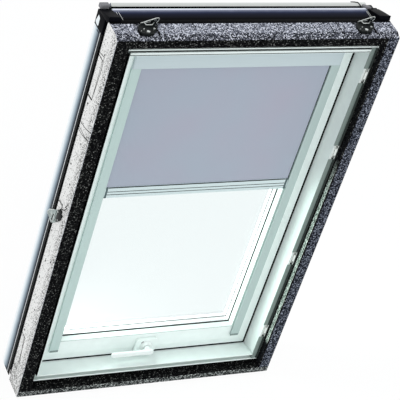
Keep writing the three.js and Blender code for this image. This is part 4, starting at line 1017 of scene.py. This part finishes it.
class ROOFWINDOW_OT_gasket(RoofWindowOperator, bpy.types.Operator):
    """Finish the gasket around the frame and add its lips and a pale bead that paints a highlight along it"""

    bl_idname = "roofwindow.gasket"
    bl_label = "Gasket"

    def build(self, scene):
        rubber = dull_rubber("extruded_epdm_gasket", "#08090a", 0.5)
        dress(["perimeter_gasket"], rubber, 0.4 * MM)
        proud, sunk = 1.6 * MM, 2.2 * MM
        profile = [(sunk, deep(73.0))]
        for depth in (75.0, 79.5, 84.0):
            profile += [
                (inset, deep(depth + shift)) for inset, shift in ((proud, -1.9), (0.0, -0.7), (0.0, 0.7), (proud, 1.9))
            ]
        profile.append((sunk, deep(87.9)))
        low, high = (GASKET_LOW.x - proud, GASKET_LOW.z - proud), (GASKET_HIGH.x + proud, GASKET_HIGH.z + proud)
        finished("gasket_lips", solid(surround, profile, low, high), [rubber], "frame", "rubber")

        # A black flap over the back of the collar's top: partly gasket, partly painted shadow of the hood.
        inset = 1.5 * MM
        flap = solid(
            box, (COLLAR_LOW.x + inset, deep(60.8), COLLAR_HIGH.z - 0.4 * MM),
            (COLLAR_HIGH.x - inset, deep(76), COLLAR_HIGH.z + 0.7 * MM), edge=0.5 * MM,
        )
        finished("gasket_head_flap", flap, [rubber], "frame", "rubber")
        self.add_bead(scene.roofwindow_weather.bead / 2)

    def add_bead(self, radius):
        """The pale bead between each side cover and the gasket, a painted highlight."""
        depth, foot, out = deep(101.8), level(3), COVER_HIGH.x + 0.2 * MM
        bead = bmesh.new()
        for side in (1, -1):
            bar(bead, [
                Vector((side * (out + radius * math.cos(turn)), depth + radius * math.sin(turn), foot))
                for turn in circle(10)
            ], (0, 0, CAP_LOW.z - foot))
        finished("sealing_bead", bead, [extruded_plastic("pale_butyl_bead", "#e9ebec", 0.5)], "frame", "rubber")


class ROOFWINDOW_OT_covers(RoofWindowOperator, bpy.types.Operator):
    """Add the curved side covers and finish the sill's and the sash's covers"""

    bl_idname = "roofwindow.covers"
    bl_label = "Covers"

    def build(self, scene):
        weather = scene.roofwindow_weather
        # The side covers' stops paint a reflection: near black at the gasket, paler towards the back, nearly white at
        # the curve.
        sheen = painted_metal("coil_coated_aluminium_side", [
            (0.0, "#020203"), (0.13, "#030405"), (0.27, "#14161d"), (0.4, "#434c57"), (0.62, "#a5b3bd"),
            (0.9, "#eff3f5"),
        ], COVER_LOW.y, COVER_HIGH.y - 8 * MM)
        for side in SIDES:
            self.add_side_cover(side, weather, sheen)
        dress(["cover_sill"], sheen, weather.edge)
        low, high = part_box("sash_cover_sill")
        # The sash's covers are near white at the front, where they show through the glass, as painted light; grey
        # behind.
        stops = [(0.0, "#fdfefe"), (0.9, "#fdfefe"), (0.93, weather.grey)]
        grey = painted_metal("coil_coated_aluminium_grey", stops, low.y, high.y)
        dress([f"sash_cover_{place}" for place in ("head", "sill", "left", "right")], grey, 0.5 * MM)

    def add_side_cover(self, side, weather, look):
        """A side cover: flat at the gasket, curving in towards its back, with a hem, a web and two joints."""
        outer, inner, front, back, sheet = COVER_HIGH.x, COVER_LOW.x, COVER_LOW.y, COVER_HIGH.y, 1.5 * MM
        hem_x, hem_y, web_front, web_back = 388 * MM, deep(143), deep(108.3), deep(109.8)
        curve, reach, steps = weather.curve, weather.curve_depth, 8
        start = back - reach
        turns = [math.pi / 2 * i / steps for i in range(steps + 1)]
        skin = [(outer - curve * (1 - math.cos(turn)), start + reach * math.sin(turn)) for turn in turns]
        lining = [(x - sheet * math.cos(turn), y - sheet * math.sin(turn)) for (x, y), turn in zip(skin, turns)]
        profile = [
            (outer, front), *skin, (hem_x, back), (hem_x, hem_y), (hem_x + sheet, hem_y), (hem_x + sheet, back - sheet),
            *lining[::-1], (outer - sheet, web_back), (inner, web_back), (inner, web_front), (outer - sheet, web_front),
            (outer - sheet, front),
        ]
        bm = solid(bar, [Vector((x, y, COVER_LOW.z)) for x, y in profile], (0, 0, COVER_HIGH.z - COVER_LOW.z))
        finished_side(side, "side_cover", bm, [look], "grey_aluminium", "cover", smooth=30.0)
        marks = bmesh.new()
        for foot, top in ((1204.5, 1206.5), (2.5, 4.5)):
            box(marks, (outer - 0.3 * MM, deep(90), level(foot)), (outer + 0.5 * MM, start, level(top)))
        finished_side(side, "cover_joint", marks, [dull_rubber(f"joint_in_shade_{side}", "#191b1f")], "rubber")


class ROOFWINDOW_OT_hood(RoofWindowOperator, bpy.types.Operator):
    """Add the hood with a painted highlight on its rounded edge, and its moulded caps"""

    bl_idname = "roofwindow.hood"
    bl_label = "Hood"

    # (depth, height) of the sheet's outline, of a ridge at its ends and of the caps' noses and painted reflections, in
    # millimetres
    sheet = (
        (88.8, 1250.3), (88.8, 1255.6), (89.6, 1257.3), (91.4, 1258.0), (118, 1257.6), (127.5, 1257.2),
        (131.8, 1259.4), (133.6, 1261.4), (135.0, 1262.0), (135.4, 1260.8), (142.3, 1260.8), (142.7, 1262.8),
        (146.0, 1266.5), (149.0, 1268.3), (151.5, 1268.4), (153.8, 1266.5), (154.8, 1262.0),
        (155.0, 1256.0), (155.0, 1234.0), (153.5, 1234.0), (153.5, 1255.6), (152.0, 1260.0), (147.0, 1263.4),
        (134.0, 1259.6), (127.5, 1255.6), (91.4, 1256.4), (90.3, 1255.4), (90.3, 1250.3),
    )
    ridge = ((91.5, 1257.8), (127, 1257.0), (127, 1258.4), (92.5, 1258.9))
    nose = (
        (70.5, 1262.5), (67.5, 1270.5), (70, 1278.6), (73, 1280.2), (82, 1277.7), (105, 1270.5), (131, 1261.5),
        (131, 1258.5),
    )
    panel = ((127, 1249.5), (136, 1226.5), (133, 1222.5), (120.4, 1221), (116.5, 1224), (117, 1246))
    # Corners of the boxes on the noses, (across, depth) of the right cap's wedge pad, corners of the left cap's pad
    # as seen on the right, and the points of the wire that curves around the hood's rim
    lugs = (((403, 69, 1277), (409, 72.5, 1282)), ((374.5, 138, 1238), (396, 151, 1261)))
    pad = ((380.5, 136.5, 1259), (405, 151, 1271))
    wedge = ((362, 153.5), (366, 148.5), (381, 141), (387, 131.5), (372, 131.5), (362, 140))
    rim = ((330, 153.6, 1268.9), (340, 153.4, 1269), (350, 150, 1269.6), (355, 144.5, 1265.8), (356.5, 136, 1263.5))

    # Depths in millimetres where the painted highlight on the rounded edge starts, the groove's painted shade starts
    # and the rim starts, and the ridges' places in from each end
    bead, groove, rim_start = 132.0, 135.3, 142.6
    ridges = {-1: (3.0, 9.0, 15.0), 1: (1.5, 5.5)}

    def build(self, scene):
        weather = scene.roofwindow_weather
        # The hood's stops paint shade at its front and a reflection towards its back.
        navy = painted_metal("coil_coated_aluminium_navy", [
            (0.0, "#000001"), (0.2, "#030409"), (0.36, "#10111a"), (0.52, shade(weather.navy, 0.66)),
            (0.68, shade(weather.navy, 0.9)), (0.8, "#272d44"), (0.9, "#41465c"), (1.0, "#7c8094"),
        ], HOOD_LOW.y, deep(130.5))
        self.add_hood([
            navy, extruded_plastic("pale_pvc_bead", "#e8ebf7", 0.3), dull_rubber("hood_groove_in_shade", "#040506"),
            drawn_aluminium("mill_aluminium_rim", "#d6d8d5", "X", 0.2, 0.3),
        ])
        looks = [
            dull_rubber("moulded_asa_cap", weather.black, 0.42), extruded_plastic("pale_cap_panel", "#eef3f5", 0.4),
            dull_rubber("moulded_foam_pad", "#858387", 0.8),
        ]
        for side in SIDES:
            self.add_cap(side, looks)
            self.add_nose(side, looks)

    def add_hood(self, looks):
        """The hood's folded sheet, with a painted highlight on a rounded edge, a groove painted in shade and a pale
        rounded rim at its back.
        """
        bm = solid(bar, path(self.sheet, x=HOOD_LOW.x), (HOOD_HIGH.x - HOOD_LOW.x, 0, 0))
        for face in bm.faces:
            spot = face.calc_center_median()
            depth = (spot.y - COLLAR_LOW.y) / MM
            if abs(spot.x) < 1 * MM and depth > self.bead:
                face.material_index = 1 if depth < self.groove else 2 if depth < self.rim_start else 3
        width = 1.0 * MM
        for side, insets in self.ridges.items():
            for inset in insets:
                start = side * (HOOD_HIGH.x - inset * MM) - width / 2
                tinted(bm, 3, bar, path(self.ridge, x=start), (width, 0, 0))
        finished("hood_shell", bm, looks, "frame", "dark_aluminium", ["hood"], smooth=50.0)

    def add_cap(self, side, looks):
        """A moulded cap, its back drawn forward and lowered, with its outer and upper edges rounded."""
        bm = node_copy("hood_cap_right")
        outer, top, near, forward, lower = CAP_HIGH.x, CAP_HIGH.z, 0.5 * MM, 14 * MM, 6 * MM
        for vert in bm.verts:
            if vert.co.y > deep(150):
                vert.co.y -= forward
                vert.co.z -= lower if vert.co.z > top - 3 * MM else 0
        soften(bm, 1.6 * MM, 3, which=lambda edge: (
            max(vert.co.z for vert in edge.verts) > top - near or min(vert.co.x for vert in edge.verts) > outer - near
        ))
        finished_side(side, "cap", bm, looks, "dark_aluminium", "hood_cap", recalculate=False, smooth=35.0)

    def add_nose(self, side, looks):
        """A cap's nose, which falls towards its back, a pale side panel that paints a reflection on it, and the foam
        pad behind it.
        """
        bm = bmesh.new()
        bar(bm, path(self.nose, x=376 * MM), (33.2 * MM, 0, 0))
        for low, high in self.lugs:
            box(bm, at(*low), at(*high))
        soften(bm, 1.2 * MM, 3)
        tinted(bm, 1, bar, path(self.panel, x=CAP_HIGH.x - 0.3 * MM), (0.8 * MM, 0, 0))
        rounding = {"edge": 1.5 * MM, "segments": 3}
        if side == "left":
            pad = solid(box, *(at(*corner) for corner in self.pad), **rounding)
        else:
            pad = solid(bar, path(self.wedge, z=level(1256)), (0, 0, 10.5 * MM), **rounding)
        joined(bm, pad, 2)
        if side == "right":
            bent_wire(bm, [at(*point) for point in self.rim], 1.3 * MM)
        finished_side(side, "cap_nose", bm, looks, "dark_aluminium", smooth=35.0)


class ROOFWINDOW_OT_brackets(RoofWindowOperator, bpy.types.Operator):
    """Add the fixing brackets on the top and the sides"""

    bl_idname = "roofwindow.brackets"
    bl_label = "Brackets"

    # The left top bracket, drawn on the right and mirrored, in millimetres: (across, depth) of its tray, (across,
    # depth, radius) of the bolts in it, how far the right one stands from it, and (across, height) of the lug
    tray = (
        (335, 52), (342, 36), (342.5, 23), (336, 16.8), (320, 13.5), (306, 16), (294.5, 30), (286, 42), (281, 54),
        (290, 60), (301, 61), (326, 61),
    )
    tray_bolts = ((318.6, 23.5, 4.6), (298, 35.6, 2.6), (326.5, 34.5, 1.6), (336.5, 26, 1.2))
    apart = 631.6 * MM
    lug = (
        (326, 1263.4), (325, 1268.6), (322, 1270.2), (284.5, 1284.6), (279, 1284.8), (277, 1282.4), (277.2, 1277),
        (281.5, 1270.5), (282.5, 1263.4),
    )

    # The right side bracket, in millimetres: (depth, height) of its plate and its hook, and (depth, height, radius)
    # of its rivets
    plate = (
        (104, 627), (111, 615), (106, 608), (91, 605), (78, 602), (64.6, 612), (45, 632), (51, 655), (59, 662.4),
        (78, 648.6),
    )
    hook = (
        (44.8, 677), (31, 678.5), (34, 670), (25, 668.5), (29, 651), (40, 638), (50, 628), (56, 640), (54, 652),
        (60, 662),
    )
    rivets = ((49.8, 664.5, 3.4), (40.5, 643, 2.0))

    def build(self, scene):
        # The dark steel is painted shade, and the bright zinc paints highlights on rims, wires, bolts and rivets; the
        # pale plate is the zinc's own tone.
        dark = zinc_steel("oiled_steel_dark", "#1c2121", 0.5)
        bright = zinc_steel("zinc_plated_edge", "#dfe4e2", 0.3)
        plate = zinc_steel("zinc_plated_plate", "#b7c4c2", 0.42)
        for side in SIDES:
            self.add_top_bracket(side, [dark, bright])
            self.add_side_bracket(side, [plate, dark, bright])

    def add_top_bracket(self, side, looks):
        """A tray in the collar's recess, dark with painted shade, with a bolt, and a plate with a hole that leans over
        the hood.
        Both brackets lean the same way, so the right one is the left one moved across."""
        floor, crown = 1263.2, 1271.0
        tray = solid(bar, path(self.tray, z=level(floor + 0.4)), (0, 0, (crown - floor) * MM))
        lid = [max(tray.faces, key=lambda face: (abs(face.normal.z) > 0.9, face.calc_center_median().z))]
        bmesh.ops.recalc_face_normals(tray, faces=tray.faces)
        bmesh.ops.inset_region(tray, faces=lid, thickness=3.5 * MM, depth=0.0)
        bmesh.ops.inset_region(tray, faces=lid, thickness=0.8 * MM, depth=-3.0 * MM)
        soften(tray, 0.7 * MM)
        bm = bmesh.new()
        joined(bm, tray)
        rim = path(((316, 60), (314.6, 51), (298.4, 51), (290, 60)), z=level(1272.4))
        tinted(bm, 1, bent_wire, rim, 1.2 * MM)
        for x, y, radius in self.tray_bolts:
            tinted(bm, 1, round_bar, at(x, y, crown - 0.6), radius * MM, 4.4 * MM, "Z", 16)
        self.add_lug(bm)
        mirrored(bm)
        if side == "right":
            bmesh.ops.translate(bm, verts=bm.verts, vec=(self.apart, 0, 0))
        finished(f"roof_bracket_{side}", bm, looks, "frame", "steel", [f"bracket_top_{side}"])

    def add_lug(self, bm):
        """The leaning plate behind the tray, with a painted highlight along its rim and a ringed hole."""
        outline = path(self.lug, y=deep(62.6))
        bar(bm, outline, (0, 2.4 * MM, 0))
        tinted(bm, 1, bent_wire, outline[1:-1], 1.15 * MM)
        tinted(bm, 1, round_bar, at(286.5, 62.6, 1278.4), 2.9 * MM, 1.2 * MM, "Y", 20)
        round_bar(bm, at(286.5, 62.4, 1278.4), 1.7 * MM, 1.6 * MM, "Y", 16)
        tinted(bm, 1, bent_wire, path(((299, 1273.5), (313, 1270.6)), y=deep(62.4)), 0.8 * MM)

    def add_side_bracket(self, side, looks):
        """A plate over the gasket, a dark hook block and bent spring wires above it."""
        # The hook block's dark steel is painted shade; the bright wires and rivets carry painted highlights.
        _, dark, bright = range(3)
        start, face, spring = PLATE_LOW.x, PLATE_HIGH.x, 410.2 * MM
        bm = solid(bar, path(self.plate, x=start), (face - start, 0, 0), edge=0.5 * MM)
        joined(bm, solid(bar, path(self.hook, x=start + 0.4 * MM), (3.4 * MM, 0, 0), edge=0.7 * MM), dark)
        for look, radius, place, course in (
            (dark, 1.5, face, ((74, 634), (78, 612.5))),
            (bright, 1.4, face, ((106, 609), (110, 615), (103, 627), (80, 646))),
            (bright, 1.1, face, ((68, 640), (71, 614), (84, 607))),
            (bright, 1.1, face, ((84, 634), (87, 616))),
            (dark, 0.9, face, ((62, 655), (64, 641), (58, 634), (61, 622))),
            (dark, 0.9, spring, ((73, 687.5), (61, 690.7), (52, 691.3), (43.8, 693), (40.6, 685.7), (45, 677))),
            (dark, 0.9, spring, ((45, 677), (30, 687), (22, 693), (14, 707))),
            (dark, 0.9, spring, ((24.6, 700.6), (14.4, 717))),
        ):
            tinted(bm, look, bent_wire, path(course, x=place), radius * MM)
        for y, z, radius in self.rivets:
            tinted(bm, bright, round_bar, at(413, y, z), radius * MM, 2.4 * MM, "X", 16)
        finished_side(side, "side_bracket", bm, looks, "pale_steel", "bracket_side")


class ROOFWINDOW_OT_stage(RoofWindowOperator, bpy.types.Operator):
    """Add the camera, the lights and the floor"""

    bl_idname = "roofwindow.stage"
    bl_label = "Stage"

    def build(self, scene):
        stage = scene.roofwindow_stage
        self.add_camera(scene, stage)
        self.add_light(scene, stage)
        self.add_floor()
        scene.view_settings.view_transform = "Standard"

    def add_camera(self, scene, stage):
        data = bpy.data.cameras.new("camera")
        data.lens, data.sensor_width, data.clip_end = stage.lens, stage.sensor, 100.0
        right, up = Vector(stage.right).normalized(), Vector(stage.up).normalized()
        turn = Matrix((right, up, right.cross(up))).transposed().to_4x4()
        scene.camera = linked("camera", data)
        scene.camera.matrix_world = Matrix.Translation(stage.place) @ turn

    def add_light(self, scene, stage):
        """An even world that shows white, and a soft light behind the glass that reaches the right reveal."""
        scene.world = bpy.data.worlds.new("studio")
        scene.world.use_nodes = True
        tree = scene.world.node_tree
        even = tree.nodes["Background"]
        feed(even, {"Color": DAYLIGHT, "Strength": stage.world})
        white = add(tree, "ShaderNodeBackground", {"Color": WHITE, "Strength": 1.0})
        mix_out(tree, "World Output", self.seen(tree), even.outputs["Background"], white.outputs["Background"])
        data = bpy.data.lights.new("weather_side_light", "AREA")
        data.shape, data.energy = "RECTANGLE", stage.back_light
        data.size, data.size_y = LAMP_SIZE
        light = linked("weather_side_light", data)
        light.location = at(*LAMP_PLACE)
        light.rotation_mode = "QUATERNION"
        light.rotation_quaternion = Vector(LAMP_AIM).to_track_quat("-Z", "Y")
        light.visible_camera = light.visible_glossy = light.visible_transmission = False

    def seen(self, tree):
        """1 where the camera, a reflection or the glass looks at the background."""
        rays = add(tree, "ShaderNodeLightPath").outputs
        shown = rays["Is Camera Ray"]
        for ray in ("Is Glossy Ray", "Is Transmission Ray"):
            shown = add(tree, "ShaderNodeMath", {0: shown, 1: rays[ray]}, operation="MAXIMUM").outputs["Value"]
        return shown

    def add_floor(self):
        """A wide pale floor: it looks nearly white and keeps a faint shadow of the window."""
        bm = bmesh.new()
        bmesh.ops.create_grid(bm, x_segments=1, y_segments=1, size=30.0)
        floor = linked("floor", mesh_of("floor", bm))
        look, tree, shader, _ = new_look("studio_floor")
        feed(shader, {"Base Color": FLOOR, "Roughness": 0.9, "Specular IOR Level": 0.0})
        glow = add(tree, "ShaderNodeEmission", {"Color": WHITE, "Strength": 1.0}).outputs["Emission"]
        share = add(tree, "ShaderNodeMath", {0: self.seen(tree), 1: 0.93}, operation="MULTIPLY").outputs["Value"]
        mix_out(tree, "Material Output", share, shader.outputs["BSDF"], glow)
        floor.data.materials.append(look)


STEPS = (
    ROOFWINDOW_OT_stage, ROOFWINDOW_OT_foam_collar, ROOFWINDOW_OT_fixed_frame, ROOFWINDOW_OT_sash,
    ROOFWINDOW_OT_lock_and_hinges, ROOFWINDOW_OT_handle, ROOFWINDOW_OT_blind, ROOFWINDOW_OT_gasket,
    ROOFWINDOW_OT_covers, ROOFWINDOW_OT_hood, ROOFWINDOW_OT_brackets,
)
SETTINGS = {
    "roofwindow_foam": FoamSettings,
    "roofwindow_frame": FrameSettings,
    "roofwindow_blind": BlindSettings,
    "roofwindow_weather": WeatherSettings,
    "roofwindow_handle": HandleSettings,
    "roofwindow_stage": StageSettings,
}


class ROOFWINDOW_PT_panel(bpy.types.Panel):
    """Lists the pieces of the roof window"""

    bl_idname = "ROOFWINDOW_PT_panel"
    bl_label = "Roof Window"
    bl_space_type = "VIEW_3D"
    bl_region_type = "UI"
    bl_category = "Roof Window"

    def draw(self, context):
        for step in STEPS:
            self.layout.operator(step.bl_idname)


CLASSES = (*SETTINGS.values(), *STEPS, ROOFWINDOW_PT_panel)


def register():
    for item in CLASSES:
        bpy.utils.register_class(item)
    for name, settings in SETTINGS.items():
        setattr(bpy.types.Scene, name, PointerProperty(type=settings))


def unregister():
    for name in SETTINGS:
        delattr(bpy.types.Scene, name)
    for item in reversed(CLASSES):
        bpy.utils.unregister_class(item)


def main():
    register()
    for step in STEPS:
        group, name = step.bl_idname.split(".")
        getattr(getattr(bpy.ops, group), name)()


if __name__ == "__main__":
    main()
